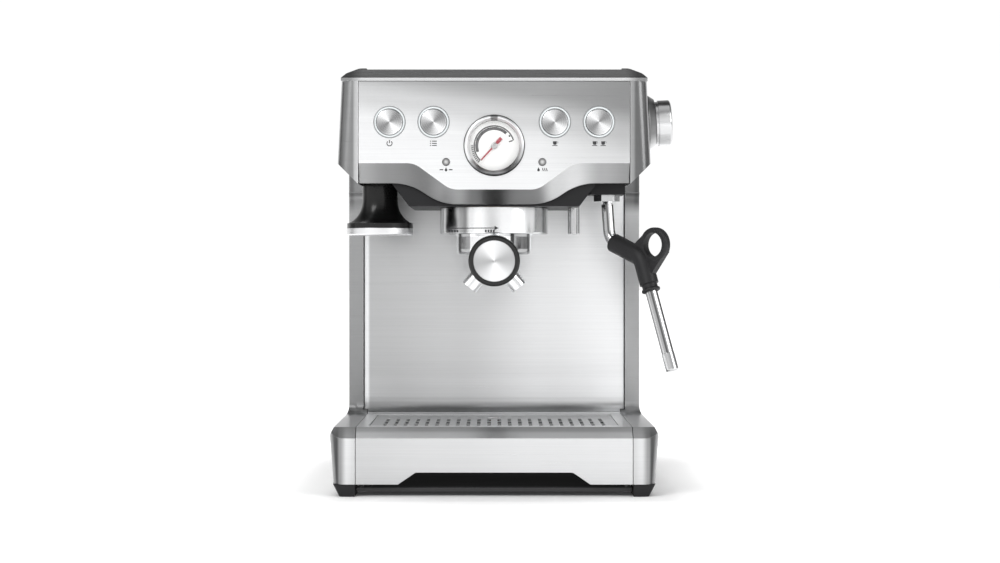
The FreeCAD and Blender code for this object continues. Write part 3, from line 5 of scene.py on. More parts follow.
import bmesh
import bpy
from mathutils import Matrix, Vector


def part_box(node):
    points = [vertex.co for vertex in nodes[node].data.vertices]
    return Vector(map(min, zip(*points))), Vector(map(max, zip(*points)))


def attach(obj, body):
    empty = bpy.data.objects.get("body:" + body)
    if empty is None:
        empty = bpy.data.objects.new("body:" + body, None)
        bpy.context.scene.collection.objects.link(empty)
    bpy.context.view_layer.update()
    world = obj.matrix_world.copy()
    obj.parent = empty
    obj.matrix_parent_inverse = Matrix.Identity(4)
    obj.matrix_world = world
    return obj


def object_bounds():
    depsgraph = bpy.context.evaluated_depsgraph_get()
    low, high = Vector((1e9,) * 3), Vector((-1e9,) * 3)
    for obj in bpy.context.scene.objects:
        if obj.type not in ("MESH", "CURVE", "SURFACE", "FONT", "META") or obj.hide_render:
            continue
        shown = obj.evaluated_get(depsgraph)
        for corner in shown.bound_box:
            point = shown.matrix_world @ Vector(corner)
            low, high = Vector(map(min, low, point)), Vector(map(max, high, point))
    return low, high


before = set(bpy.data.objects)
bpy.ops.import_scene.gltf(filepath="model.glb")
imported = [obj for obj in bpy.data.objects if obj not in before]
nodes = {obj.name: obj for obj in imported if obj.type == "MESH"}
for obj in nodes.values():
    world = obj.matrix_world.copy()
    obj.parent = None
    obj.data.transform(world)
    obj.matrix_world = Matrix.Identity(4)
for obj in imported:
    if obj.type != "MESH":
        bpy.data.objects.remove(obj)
cad_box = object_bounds()

MM = 0.001


def centre(node):
    """The middle of a CAD node's box."""
    low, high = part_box(node)
    return (low + high) / 2


BASE_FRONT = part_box("tray_cover")[0].y
MIDDLE_X = centre("tray_cover").x
HEAD_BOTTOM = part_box("fascia")[0].z
BASE_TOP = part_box("tray_cover")[1].z


# ---------------------------------------------------------------- node trees

class Tree:
    """A node tree, with short calls for the nodes that work on numbers and colours."""

    def __init__(self, tree):
        self.tree = tree

    def node(self, kind, **settings):
        made = self.tree.nodes.new(kind)
        for setting, value in settings.items():
            setattr(made, setting, value)
        return made

    def put(self, socket, value):
        """Links an output into a socket, or sets the socket to a number."""
        if isinstance(value, bpy.types.NodeSocket):
            self.tree.links.new(value, socket)
        else:
            socket.default_value = value

    def math(self, operation, first, second=0.0, clamp=False):
        made = self.node("ShaderNodeMath", operation=operation, use_clamp=clamp)
        self.put(made.inputs[0], first)
        self.put(made.inputs[1], second)
        return made.outputs[0]

    def axis(self, vector, letter):
        return self.put_in("ShaderNodeSeparateXYZ", vector).outputs[letter]

    def put_in(self, kind, value):
        made = self.node(kind)
        self.put(made.inputs[0], value)
        return made

    def spread(self, value, low, high, start=0.0, end=1.0):
        """A value from start to end, mapped to low to high."""
        made = self.node("ShaderNodeMapRange")
        for socket, number in zip(made.inputs, (value, start, end, low, high)):
            self.put(socket, number)
        return made.outputs[0]

    def ramp(self, value, stops):
        """Grey levels along a value, from a list of (place, level)."""
        made = self.node("ShaderNodeValToRGB")
        made.color_ramp.interpolation = "EASE"
        while len(made.color_ramp.elements) < len(stops):
            made.color_ramp.elements.new(0.5)
        for element, (place, level) in zip(made.color_ramp.elements, stops):
            element.position = place
            element.color = (level, level, level, 1)
        self.put(made.inputs[0], value)
        return made.outputs[0]

    def blend(self, share, first, second):
        """Mixes two colours by a share."""
        made = self.node("ShaderNodeMix", data_type="RGBA")
        self.put(made.inputs[0], share)
        self.put(made.inputs[6], first)
        self.put(made.inputs[7], second)
        return made.outputs[2]

    def tint(self, colour, factor):
        """A colour times a grey factor."""
        made = self.node("ShaderNodeVectorMath", operation="SCALE")
        self.put(made.inputs[0], colour)
        self.put(made.inputs["Scale"], factor)
        return made.outputs[0]


class Finish(Tree):
    """A material on one Principled shader, with short calls for its surface."""

    def __init__(self, name, **sockets):
        self.material = bpy.data.materials.new(name)
        self.material.use_nodes = True
        super().__init__(self.material.node_tree)
        self.shader = self.tree.nodes["Principled BSDF"]
        for socket, number in sockets.items():
            self.shader.inputs[socket.replace("_", " ")].default_value = number
        self.place = self.node("ShaderNodeTexCoord").outputs["Object"]

    def noise(self, scale, detail=4.0, rough=0.6, shift=(0, 0, 0), vector=None):
        """Noise over the object's own coordinates, stretched by one scale per axis."""
        mapping = self.node("ShaderNodeMapping")
        self.put(mapping.inputs["Vector"], vector or self.place)
        mapping.inputs["Scale"].default_value = scale
        mapping.inputs["Location"].default_value = shift
        made = self.node("ShaderNodeTexNoise")
        self.put(made.inputs["Vector"], mapping.outputs[0])
        made.inputs["Scale"].default_value = 1.0
        made.inputs["Detail"].default_value = detail
        made.inputs["Roughness"].default_value = rough
        return made.outputs["Fac"]

    def polar(self, at):
        """Distance and angle of a point about a front-to-back axis through at."""
        split = self.put_in("ShaderNodeSeparateXYZ", self.place)
        across = self.math("SUBTRACT", split.outputs["X"], at.x)
        upward = self.math("SUBTRACT", split.outputs["Z"], at.z)
        reach = self.math("SQRT", self.math("ADD", self.math("MULTIPLY", across, across),
                                            self.math("MULTIPLY", upward, upward)))
        return reach, self.math("ARCTAN2", upward, across)

    def colour(self, value):
        self.put(self.shader.inputs["Base Color"], value)

    def roughness(self, value):
        self.put(self.shader.inputs["Roughness"], value)

    def relief(self, height, depth, strength=1.0, edge=0.0):
        """Bump from a height of 0 to 1, over edges that the light sees as rounded."""
        bump = self.node("ShaderNodeBump")
        bump.inputs["Strength"].default_value = strength
        bump.inputs["Distance"].default_value = depth
        self.put(bump.inputs["Height"], height)
        if edge:
            self.put(bump.inputs["Normal"], self.rounded(edge))
        self.put(self.shader.inputs["Normal"], bump.outputs[0])

    def rounded(self, radius):
        made = self.node("ShaderNodeBevel", samples=6)
        made.inputs["Radius"].default_value = radius
        return made.outputs[0]

    def edge_wear_and_highlight(self, radius):
        """How much of an edge a point is on, from 0 to 1: it makes edges paler, as wear and as a painted
        edge highlight.
        """
        dot = self.node("ShaderNodeVectorMath", operation="DOT_PRODUCT")
        self.put(dot.inputs[0], self.rounded(radius))
        self.put(dot.inputs[1], self.node("ShaderNodeNewGeometry").outputs["True Normal"])
        return self.spread(dot.outputs["Value"], 1.0, 0.0, 0.80, 0.985)

    def grain_along(self, axis, turn):
        """The direction that brushing stretches a highlight in."""
        made = self.node("ShaderNodeTangent", direction_type="RADIAL", axis=axis)
        self.put(self.shader.inputs["Tangent"], made.outputs[0])
        self.shader.inputs["Anisotropic Rotation"].default_value = turn


# ---------------------------------------------------------------- steels

FINE, COARSE = 1500, 300
# WIDE_EDGE sets the width of the paler edges (wear and a painted edge highlight) and rounds some bumps;
# SOFT_EDGE rounds the rest
WIDE_EDGE, SOFT_EDGE = 0.4 * MM, 0.3 * MM
ALONG_X = ((9, FINE, FINE), (3, COARSE, COARSE))
AROUND_Z = ((9, 9, FINE), (3, 3, COARSE))


def hued(hue, tone):
    """A hue at a tone."""
    return tuple(channel * tone for channel in hue)


def steel(name, tone, gloss, streaks, grain, shade=None, anisotropy=0.6):
    """Brushed stainless steel. shade is a function that returns a grey factor for its tone: painted light
    and shade that stand in for reflections.
    """
    made = Finish(name, Metallic=1.0, Anisotropic=anisotropy)
    made.grain_along(*grain)
    fine = made.noise(streaks[0], 6, 0.7)
    coarse = made.noise(streaks[1], 3, 0.55, (3.1, 1.7, 5.3))
    level = made.math("MULTIPLY", made.spread(fine, 0.90, 1.10), made.spread(coarse, 0.96, 1.04))
    # shade paints light and shade into the tone
    if shade:
        level = made.math("MULTIPLY", level, shade(made))
    # paler edges: wear and a painted edge highlight
    level = made.math("ADD", level, made.math("MULTIPLY", made.edge_wear_and_highlight(WIDE_EDGE), 0.12))
    made.colour(made.tint(hued((0.985, 0.992, 1.0), tone), level))
    made.roughness(made.math("ADD", made.spread(fine, gloss - 0.07, gloss + 0.09),
                             made.spread(coarse, -0.03, 0.03)))
    made.relief(fine, 0.00003, 0.35, WIDE_EDGE)
    return made.material


def facing(made, letter, sign=-1.0, start=0.55, end=0.9):
    """1 where the surface faces that way in the object's frame, and 0 elsewhere."""
    normal = made.node("ShaderNodeTexCoord").outputs["Normal"]
    return made.spread(made.math("MULTIPLY", made.axis(normal, letter), sign), 0.0, 1.0, start, end)


def weigh(made, share, factor):
    """1 where share is 0, and the factor where it is 1."""
    less = made.math("SUBTRACT", factor, 1.0)
    return made.math("ADD", 1.0, made.math("MULTIPLY", share, less))


def fascia_painted_shade(made):
    """Painted reflections, as a bowed front would show them: darker at the top and to the right, bright
    along the bottom, with painted bands on the faces off the flat front, such as the lower bevel.
    """
    low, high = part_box("fascia")
    height = made.spread(made.axis(made.place, "Z"), 0.0, 1.0, low.z, high.z)
    across = made.spread(made.axis(made.place, "X"), -1.0, 1.0, low.x, high.x)
    level = made.math("ADD", height, made.math("MULTIPLY", across, 0.16))
    # painted reflection gradient on the flat front
    front = made.ramp(level, [(0.30, 0.95), (0.52, 0.92), (0.74, 0.71), (0.97, 0.41)])
    dim = made.math("MULTIPLY", made.spread(across, 1.0, 0.80, 0.35, 0.95),
                    made.spread(across, 1.0, 0.98, 0.0, 0.4))
    front = made.math("MULTIPLY", front, dim)
    flat = facing(made, "Y", -1.0, 0.93, 0.985)
    # painted light and dark bands on the lower bevel
    lower = made.ramp(made.spread(across, 0.0, 1.0, -1.0, 1.0),
                      [(0.0, 0.34), (0.11, 0.24), (0.24, 0.16), (0.31, 0.24), (0.37, 0.40), (0.42, 0.25),
                       (0.66, 0.25), (0.72, 0.50), (0.80, 0.56), (0.90, 0.36), (1.0, 0.27)])
    return made.math("ADD", made.math("MULTIPLY", flat, front),
                     made.math("MULTIPLY", made.math("SUBTRACT", 1.0, flat), lower))


def deck_painted_shade(made):
    """Painted light on the front bevel, lighter towards its lip, with painted shade at its ends past the
    cheeks; plain on the flat top.
    """
    low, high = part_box("top_deck")
    height = made.spread(made.axis(made.place, "Z"), 0.0, 1.0, low.z, high.z)
    # painted light on the bevel
    bevel = made.ramp(height, [(0.0, 1.10), (0.25, 1.30), (0.50, 1.62), (0.80, 1.50), (1.0, 1.42)])
    away = made.math("ABSOLUTE", made.math("SUBTRACT", made.axis(made.place, "X"), MIDDLE_X))
    # painted shade on the ends of the lip
    corner_start, corner_end = 103 * MM, 112 * MM
    bevel = made.math("MULTIPLY", bevel, made.spread(away, 1.0, 0.42, corner_start, corner_end))
    return weigh(made, facing(made, "Y", -1.0, 0.20, 0.45), bevel)


def splash_painted_shade(made):
    """Painted reflection: brighter to the right with a bright line at the left edge, and a painted darker
    band where the foot curves forward.
    """
    low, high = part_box("splashback")
    across = made.spread(made.axis(made.place, "X"), 0.0, 1.0, low.x, high.x)
    # painted reflection across the panel
    level = made.ramp(across, [(0.0, 0.95), (0.012, 0.90), (0.022, 0.48), (0.35, 0.58), (0.7, 0.80),
                               (1.0, 0.93)])
    foot_rise = 36 * MM
    height = made.spread(made.axis(made.place, "Z"), 0.0, 1.0, low.z, low.z + foot_rise)
    # painted dark band over the foot
    foot = made.ramp(height, [(0.0, 1.0), (0.08, 0.95), (0.24, 0.88), (0.33, 1.0), (0.40, 1.14),
                              (0.7, 1.10), (1.0, 1.0)])
    return made.math("MULTIPLY", level, foot)


def tray_painted_shade(made):
    """Painted reflection: a bright front that gets lighter to the right, and a grey slope over it, painted
    darker towards its top.
    """
    low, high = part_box("tray_cover")
    across = made.spread(made.axis(made.place, "X"), 0.0, 1.0, low.x, high.x)
    # painted reflection gradient on the front
    front = made.ramp(across, [(0.0, 0.60), (0.3, 0.66), (0.65, 0.72), (1.0, 0.74)])
    slope_rise = 8 * MM
    height = made.spread(made.axis(made.place, "Z"), 0.0, 1.0, high.z - slope_rise, high.z)
    # painted shade on the slope
    slope = made.ramp(height, [(0.0, 1.08), (0.35, 0.98), (0.75, 0.66), (1.0, 0.58)])
    sloping = made.math("MULTIPLY", facing(made, "Y", -1.0, 0.30, 0.50),
                        facing(made, "Z", 1.0, 0.30, 0.50))
    return made.math("MULTIPLY", weigh(made, facing(made, "Y", -1.0, 0.90, 0.985), front),
                     weigh(made, sloping, slope))


def cheek_painted_shade(made):
    """Painted reflections on a cheek: its front banded on the head, grey on the column, bright on the base;
    greyer sides, also painted.
    """
    inner, width, middle_part = 106 * MM, 21 * MM, 20 * MM
    away = made.math("ABSOLUTE", made.math("SUBTRACT", made.axis(made.place, "X"), MIDDLE_X))
    across = made.spread(away, 0.0, 1.0, inner, inner + width)
    # painted reflection bands across the front
    head = made.ramp(across, [(0.0, 0.80), (0.10, 0.68), (0.22, 0.31), (0.50, 0.29), (0.68, 0.18),
                              (0.80, 0.26), (1.0, 0.36)])
    base = made.ramp(across, [(0.0, 0.72), (0.35, 0.85), (0.60, 0.34), (0.72, 0.09), (0.88, 0.13),
                              (1.0, 0.30)])
    height = made.axis(made.place, "Z")
    to_right = made.spread(made.axis(made.place, "X"), 1.0, 1.38, -middle_part, middle_part)
    column = made.math("MULTIPLY", made.spread(height, 0.31, 0.42, BASE_TOP, HEAD_BOTTOM), to_right)
    on_head = made.spread(height, 0.0, 1.0, HEAD_BOTTOM - 4 * MM, HEAD_BOTTOM + 6 * MM)
    on_base = made.spread(height, 1.0, 0.0, BASE_TOP - 6 * MM, BASE_TOP + 4 * MM)
    dimmer = made.spread(made.axis(made.place, "X"), 1.0, 0.66, -middle_part, middle_part)
    head = made.math("MULTIPLY", head, dimmer)
    level = made.math("ADD", made.math("MULTIPLY", on_head, head),
                      made.math("MULTIPLY", on_base, base))
    rest = made.math("SUBTRACT", 1.0, made.math("ADD", on_head, on_base), clamp=True)
    level = made.math("ADD", level, made.math("MULTIPLY", rest, column))
    normal = made.node("ShaderNodeTexCoord").outputs["Normal"]
    sideways = made.math("ABSOLUTE", made.axis(normal, "X"))
    outer = made.spread(sideways, 0.0, 1.0, 0.70, 0.95)
    # painted greyer outer sides
    side = made.math("MULTIPLY", made.spread(height, 0.42, 0.56, 0.0, cad_box[1].z),
                     made.spread(made.axis(made.place, "Y"), 1.12, 0.92, cad_box[0].y, cad_box[1].y))
    return made.math("MULTIPLY", weigh(made, facing(made, "Y", -1.0, 0.25, 0.75), level),
                     weigh(made, outer, side))


def spun(name, tone=0.80, gloss=0.26, axis="Y", fanned=0.36, bright=128):
    """Steel turned on a lathe: rings about an axis, and a painted highlight that fans out from the middle,
    over the anisotropic one.
    """
    made = Finish(name, Metallic=1.0, Anisotropic=0.85)
    made.grain_along(axis, 0.25)
    across = "X" if axis == "Y" else "Y"
    generated = made.node("ShaderNodeTexCoord").outputs["Generated"]
    centred = made.node("ShaderNodeVectorMath", operation="SUBTRACT")
    made.put(centred.inputs[0], generated)
    centred.inputs[1].default_value = (0.5, 0.5, 0.5)
    flat = made.node("ShaderNodeVectorMath", operation="MULTIPLY")
    made.put(flat.inputs[0], centred.outputs[0])
    flat.inputs[1].default_value = (1, 0, 1) if axis == "Y" else (0, 1, 1)
    radius = made.node("ShaderNodeVectorMath", operation="LENGTH")
    made.put(radius.inputs[0], flat.outputs[0])
    ring = made.node("ShaderNodeCombineXYZ")
    made.put(ring.inputs[0], radius.outputs["Value"])
    lines = made.noise((60, 1, 1), 5, 0.75, vector=ring.outputs[0])
    split = made.put_in("ShaderNodeSeparateXYZ", flat.outputs[0])
    angle = made.math("ARCTAN2", split.outputs["Z"], split.outputs[across])
    # painted highlight: two bright and two dark wedges about the angle bright
    painted_fan = made.math("COSINE", made.math("MULTIPLY", made.math("SUBTRACT", angle, radians(bright)), 2.0))
    painted_fan = made.spread(made.math("ADD", painted_fan, made.spread(lines, -0.25, 0.25)), fanned, 1.08, -1.0, 1.0)
    made.colour(made.tint(hued((0.985, 0.99, 1.0), tone), painted_fan))
    made.roughness(made.spread(lines, gloss - 0.06, gloss + 0.08))
    made.relief(lines, 0.00002, 0.4, SOFT_EDGE)
    return made.material


def polished(name, tone=0.82, gloss=0.09, rings=(40, 40, 900), shade=None):
    """Bright steel with turning lines, faint smears and small scratches. shade is as in steel: painted
    light and shade.
    """
    made = Finish(name, Metallic=1.0)
    lines = made.noise(rings, 4, 0.7)
    smear = made.noise((55, 55, 55), 3, 0.6, (2.0, 8.0, 4.0))
    scratch = made.ramp(made.noise((240, 240, 1900), 2, 0.5), [(0.62, 0.0), (0.70, 1.0)])
    # paler edges: wear and a painted edge highlight
    paler_edge = made.math("MULTIPLY", made.edge_wear_and_highlight(WIDE_EDGE), 0.08)
    level = made.math("ADD", made.spread(lines, 0.95, 1.04), paler_edge)
    # shade paints light and shade into the tone
    if shade:
        level = made.math("MULTIPLY", level, shade(made))
    made.colour(made.tint(hued((0.985, 0.99, 1.0), tone), level))
    gloss_here = made.math("ADD", made.spread(smear, gloss - 0.03, gloss + 0.05, 0.3, 0.7),
                           made.math("MULTIPLY", scratch, 0.05))
    made.roughness(gloss_here)
    made.relief(lines, 0.00001, 0.3, SOFT_EDGE)
    return made.material


def bands(node, stops, reach):
    """A painted reflection: a shade with light and dark bands across a round piece, as (millimetres from
    its middle, level).
    """
    def shade(made):
        across = made.math("SUBTRACT", made.axis(made.place, "X"), centre(node).x)
        places = [((place + reach) / (2 * reach), level) for place, level in stops]
        return made.ramp(made.spread(across, 0.0, 1.0, -reach * MM, reach * MM), places)
    return shade


# Painted reflections on the round group collar and portafilter cup.
COLLAR_PAINTED_BANDS = bands("group_collar", [
    (-43.4, 0.15), (-42.0, 0.75), (-39.5, 0.62), (-37.0, 0.36), (-33.8, 0.30), (-31.0, 0.38), (-29.0, 0.55),
    (-26.0, 0.40), (-23.0, 0.28), (-19.0, 0.85), (-12.0, 1.0), (-3.0, 0.74), (8.0, 0.95), (20.0, 0.90),
    (27.0, 0.86), (36.5, 0.90), (39.8, 0.30), (42.0, 0.20), (43.4, 0.80)], 44)
CUP_PAINTED_BANDS = bands("portafilter_cup", [
    (-31.5, 1.0), (-29.0, 1.0), (-28.2, 0.12), (-26.8, 0.10), (-26.0, 0.40), (-19.6, 0.40), (-18.8, 1.0),
    (12.6, 1.0), (13.2, 0.06), (15.6, 0.06), (16.2, 0.42), (26.0, 0.42), (26.8, 0.10), (28.2, 0.12),
    (29.0, 1.0), (31.5, 1.0)], 32)


def wand_painted_reflection(made):
    """Painted reflection: long dark lines down the tube, by the way that its surface faces."""
    side = made.axis(made.node("ShaderNodeTexCoord").outputs["Normal"], "X")
    return made.ramp(made.spread(side, 0.0, 1.0, -1.0, 1.0), [
        (0.0, 0.20), (0.06, 0.35), (0.14, 0.62), (0.30, 0.55), (0.38, 0.16), (0.46, 0.22), (0.54, 0.80),
        (0.70, 1.0), (0.80, 0.90), (0.88, 0.12), (0.94, 0.10), (1.0, 0.45)])


def bezel_painted_shade(made):
    """Painted reflection: bright at the top with a small grey notch there, dark round the bottom, and a
    painted thin dark line round the outside.
    """
    at = centre("gauge_bezel")
    low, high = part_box("gauge_bezel")
    reach, angle = made.polar(at)
    # painted reflection round the ring
    round_it = made.ramp(made.spread(angle, 0.0, 1.0, -pi, pi), [
        (0.0, 0.95), (0.07, 0.85), (0.11, 0.36), (0.16, 0.12), (0.22, 0.26), (0.28, 0.30), (0.335, 0.08),
        (0.38, 0.14), (0.45, 0.55), (0.52, 0.92), (0.725, 1.0), (0.735, 0.30), (0.765, 0.30), (0.775, 1.0),
        (1.0, 0.95)])
    outer, rim_width = (high.x - low.x) / 2, 1.2 * MM
    # painted dark line at the outer edge
    rim = made.ramp(made.spread(reach, 0.0, 1.0, outer - rim_width, outer), [(0.2, 1.0), (0.55, 0.06)])
    return made.math("MULTIPLY", round_it, rim)


def metal(name, colour, gloss, cell=500, depth=0.00008):
    """Cast, plated or drawn metal with a fine crystal grain."""
    made = Finish(name, Metallic=1.0)
    grain = made.noise((cell, cell, cell), 5, 0.65)
    stain = made.noise((45, 45, 45), 3, 0.6, (4.0, 2.0, 7.0))
    level = made.math("MULTIPLY", made.spread(grain, 0.86, 1.14), made.spread(stain, 0.86, 1.12))
    # paler edges: wear and a painted edge highlight
    paler_edge = made.math("MULTIPLY", made.edge_wear_and_highlight(WIDE_EDGE), 0.15)
    made.colour(made.tint(colour, made.math("ADD", level, paler_edge)))
    made.roughness(made.math("ADD", made.spread(grain, gloss - 0.08, gloss + 0.08),
                             made.spread(stain, -0.05, 0.07)))
    made.relief(grain, depth, 0.5, SOFT_EDGE)
    return made.material


# ---------------------------------------------------------------- plastics, rubbers, glass

def moulded(name, colour, gloss, cell=1100, depth=0.00006, **sockets):
    """Moulded plastic or rubber: a fine eroded texture, patches of shine, paler edges for wear and as a
    painted edge highlight.
    """
    made = Finish(name, **sockets)
    texture = made.noise((cell, cell, cell), 3, 0.6)
    patch = made.noise((38, 38, 38), 4, 0.6, (1.0, 5.0, 3.0))
    level = made.math("MULTIPLY", made.spread(texture, 0.90, 1.10), made.spread(patch, 0.88, 1.12))
    # paler edges: wear and a painted edge highlight
    paler_edge = made.math("MULTIPLY", made.edge_wear_and_highlight(WIDE_EDGE), 0.35)
    made.colour(made.tint(colour, made.math("ADD", level, paler_edge)))
    made.roughness(made.math("ADD", made.spread(texture, gloss - 0.05, gloss + 0.05),
                             made.spread(patch, -0.05, 0.06, 0.3, 0.7)))
    made.relief(texture, depth, 0.5, WIDE_EDGE)
    return made.material


def light_ring():
    """The milky rings round the buttons: white between a dark inner seam and a grey outer edge."""
    made = Finish("lit_ring", Roughness=0.3, Emission_Strength=0.05)
    reach = None
    for button in ("power", "program", "single_cup", "double_cup"):
        here, _ = made.polar(centre(button + "_button"))
        reach = here if reach is None else made.math("MINIMUM", reach, here)
    inner, outer = 10 * MM, 12.6 * MM
    level = made.ramp(made.spread(reach, 0.0, 1.0, inner, outer),
                      [(0.0, 0.10), (0.16, 0.24), (0.30, 0.72), (0.54, 0.74), (0.72, 0.30), (1.0, 0.20)])
    glow = made.noise((300, 300, 300), 2, 0.5)
    colour = made.tint((0.94, 0.985, 1.0), made.math("MULTIPLY", level, made.spread(glow, 0.94, 1.0)))
    made.colour(colour)
    made.put(made.shader.inputs["Emission Color"], colour)
    made.roughness(made.spread(glow, 0.26, 0.36))
    made.relief(glow, 0.00002, 0.3, SOFT_EDGE)
    return made.material


def lamp_lens():
    """Indicator lamps, unlit: a dark rim and a paler middle with moulded facets."""
    made = Finish("lamp_lens", Coat_Weight=0.5, Coat_Roughness=0.08)
    split = made.put_in("ShaderNodeSeparateXYZ", made.place)
    at = centre("indicator_lamps")
    low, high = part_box("indicator_lamps")
    off = made.math("SUBTRACT", made.math("ABSOLUTE", made.math("SUBTRACT", split.outputs[0], at.x)),
                    (high.x - low.x) / 2 - (high.z - low.z) / 2)
    down = made.math("SUBTRACT", split.outputs[2], at.z)
    reach = made.math("SQRT", made.math("ADD", made.math("MULTIPLY", off, off),
                                        made.math("MULTIPLY", down, down)))
    facets = made.noise((2500, 2500, 2500), 1, 0.5)
    level = made.ramp(made.spread(reach, 0.0, 1.0, 0.0, (high.z - low.z) / 2),
                      [(0.0, 0.52), (0.35, 0.40), (0.62, 0.18), (1.0, 0.06)])
    made.colour(made.tint(level, made.spread(facets, 0.8, 1.2)))
    made.roughness(made.spread(facets, 0.25, 0.45))
    made.relief(facets, 0.00005, 0.5)
    return made.material


def clear(name, colour, gloss, see, **sockets):
    """Clear or smoked glass and plastic, with a faint waviness."""
    made = Finish(name, Transmission_Weight=see, IOR=1.49, **sockets)
    wave = made.noise((60, 60, 60), 2, 0.5)
    made.colour(made.tint(colour, made.spread(wave, 0.97, 1.0)))
    made.roughness(made.spread(wave, gloss, gloss + 0.03))
    made.relief(wave, 0.00004, 0.2)
    return made.material


def board():
    """Green circuit board with copper runs under the lacquer."""
    made = Finish("circuit_board", Coat_Weight=0.4, Coat_Roughness=0.15)
    runs = made.ramp(made.noise((420, 40, 60), 1, 0.3), [(0.47, 0.0), (0.50, 1.0)])
    cross = made.ramp(made.noise((60, 40, 420), 1, 0.3, (5, 1, 2)), [(0.50, 0.0), (0.53, 1.0)])
    lines = made.math("MAXIMUM", runs, cross)
    made.colour(made.blend(lines, (0.012, 0.09, 0.045, 1), (0.03, 0.20, 0.09, 1)))
    made.roughness(made.spread(lines, 0.45, 0.32))
    made.relief(lines, 0.00004, 0.6)
    return made.material


# ---------------------------------------------------------------- finishes of the CAD nodes

SHINY_BLACK = dict(Coat_Weight=0.22, Coat_Roughness=0.10, Specular_IOR_Level=0.25)
DULL_BLACK = dict(Specular_IOR_Level=0.28)
UP_TILT, SIDE_TILT = ("X", 0.0), ("Z", 0.25)

finishes = {
    "fascia": steel("fascia_steel", 0.92, 0.30, ALONG_X, UP_TILT, fascia_painted_shade),
    "splashback": steel("splash_steel", 0.92, 0.30, ALONG_X, UP_TILT, splash_painted_shade),
    "tray_cover": steel("tray_steel", 0.92, 0.30, ALONG_X, UP_TILT, tray_painted_shade),
    "top_deck": steel("top_steel", 0.60, 0.28, ALONG_X, UP_TILT, deck_painted_shade),
    "cheek": steel("cheek_steel", 0.80, 0.30, AROUND_Z, SIDE_TILT, cheek_painted_shade),
    "grate": steel("grate_steel", 0.70, 0.30, ALONG_X, UP_TILT, anisotropy=0.4),
    "collar": steel("collar_steel", 0.92, 0.20, AROUND_Z, SIDE_TILT, COLLAR_PAINTED_BANDS, 0.5),
    "spun": spun("spun_steel"),
    "end_disc": spun("disc_steel", 0.72, 0.30, "Y", 0.50, 98),
    "dial": spun("dial_steel", 0.80, 0.26, "X", 0.72),
    "polished": polished("polished_steel", 0.60, 0.14),
    "wand": polished("wand_steel", 0.92, 0.12, shade=wand_painted_reflection),
    "spout": polished("spout_steel", 0.80, 0.28),
    "cup": polished("cup_steel", 0.90, 0.20, shade=CUP_PAINTED_BANDS),
    "bezel": polished("bezel_steel", 0.90, 0.38, (600, 600, 600), bezel_painted_shade),
    "brushed_round": polished("turned_steel", 0.78, 0.30, (30, 30, 1100)),
    "fixing": metal("plated_steel", (0.55, 0.55, 0.54), 0.30),
    "hub": metal("hub_steel", (0.42, 0.42, 0.42), 0.35),
    "black_gloss": moulded("black_gloss", (0.004, 0.004, 0.004), 0.28, 900, 0.00002, **SHINY_BLACK),
    "black": moulded("black_plastic", (0.010, 0.010, 0.011), 0.42, **DULL_BLACK),
    "under": moulded("under_plastic", (0.007, 0.007, 0.008), 0.52, **DULL_BLACK),
    "housing": moulded("housing_plastic", (0.016, 0.016, 0.017), 0.48, **DULL_BLACK),
    # the pan glows faintly: painted light in the dark space under the tray
    "pan": moulded("pan_plastic", (0.030, 0.030, 0.031), 0.50, Emission_Strength=0.008,
                   Emission_Color=(1, 1, 1, 1), **DULL_BLACK),
    "rubber": moulded("grip_rubber", (0.014, 0.014, 0.015), 0.50, 900, 0.00010, **DULL_BLACK),
    "seal": moulded("seal_rubber", (0.03, 0.028, 0.027), 0.7, 700, 0.00008),
    "ring": light_ring(),
    "lamp": lamp_lens(),
    # the dial face glows faintly: painted light that brightens the white paint
    "face": moulded("gauge_paint", (0.88, 0.88, 0.87), 0.5, 1600, 0.00001, Emission_Strength=0.06,
                    Emission_Color=(1, 1, 1, 1)),
    "needle": moulded("needle_paint", (0.30, 0.004, 0.022), 0.40, 1600, 0.00001, **DULL_BLACK),
    "lens": clear("clear_lens", (1.0, 1.0, 1.0), 0.02, 0.0, Alpha=0.04),
    "tank": clear("smoked_tank", (0.42, 0.44, 0.46), 0.10, 0.85),
    "lid": moulded("lid_plastic", (0.03, 0.03, 0.032), 0.38),
    "nylon": moulded("white_nylon", (0.70, 0.69, 0.66), 0.45),
    "filter": moulded("filter_plastic", (0.62, 0.66, 0.70), 0.35),
    "float": moulded("float_plastic", (0.14, 0.012, 0.010), 0.45),
    "dish": moulded("dish_plastic", (0.040, 0.040, 0.042), 0.45, **DULL_BLACK),
    "silicone": moulded("silicone", (0.72, 0.70, 0.66), 0.35, 600, 0.00003, Subsurface_Weight=0.2),
    "pump": moulded("pump_plastic", (0.10, 0.11, 0.13), 0.45),
    "brass": metal("brass", (0.72, 0.50, 0.22), 0.30),
    "cast": metal("cast_aluminium", (0.60, 0.60, 0.61), 0.48, 420, 0.00015),
    "pipe": metal("steel_pipe", (0.62, 0.60, 0.58), 0.22, 260, 0.00003),
    "board": board(),
}

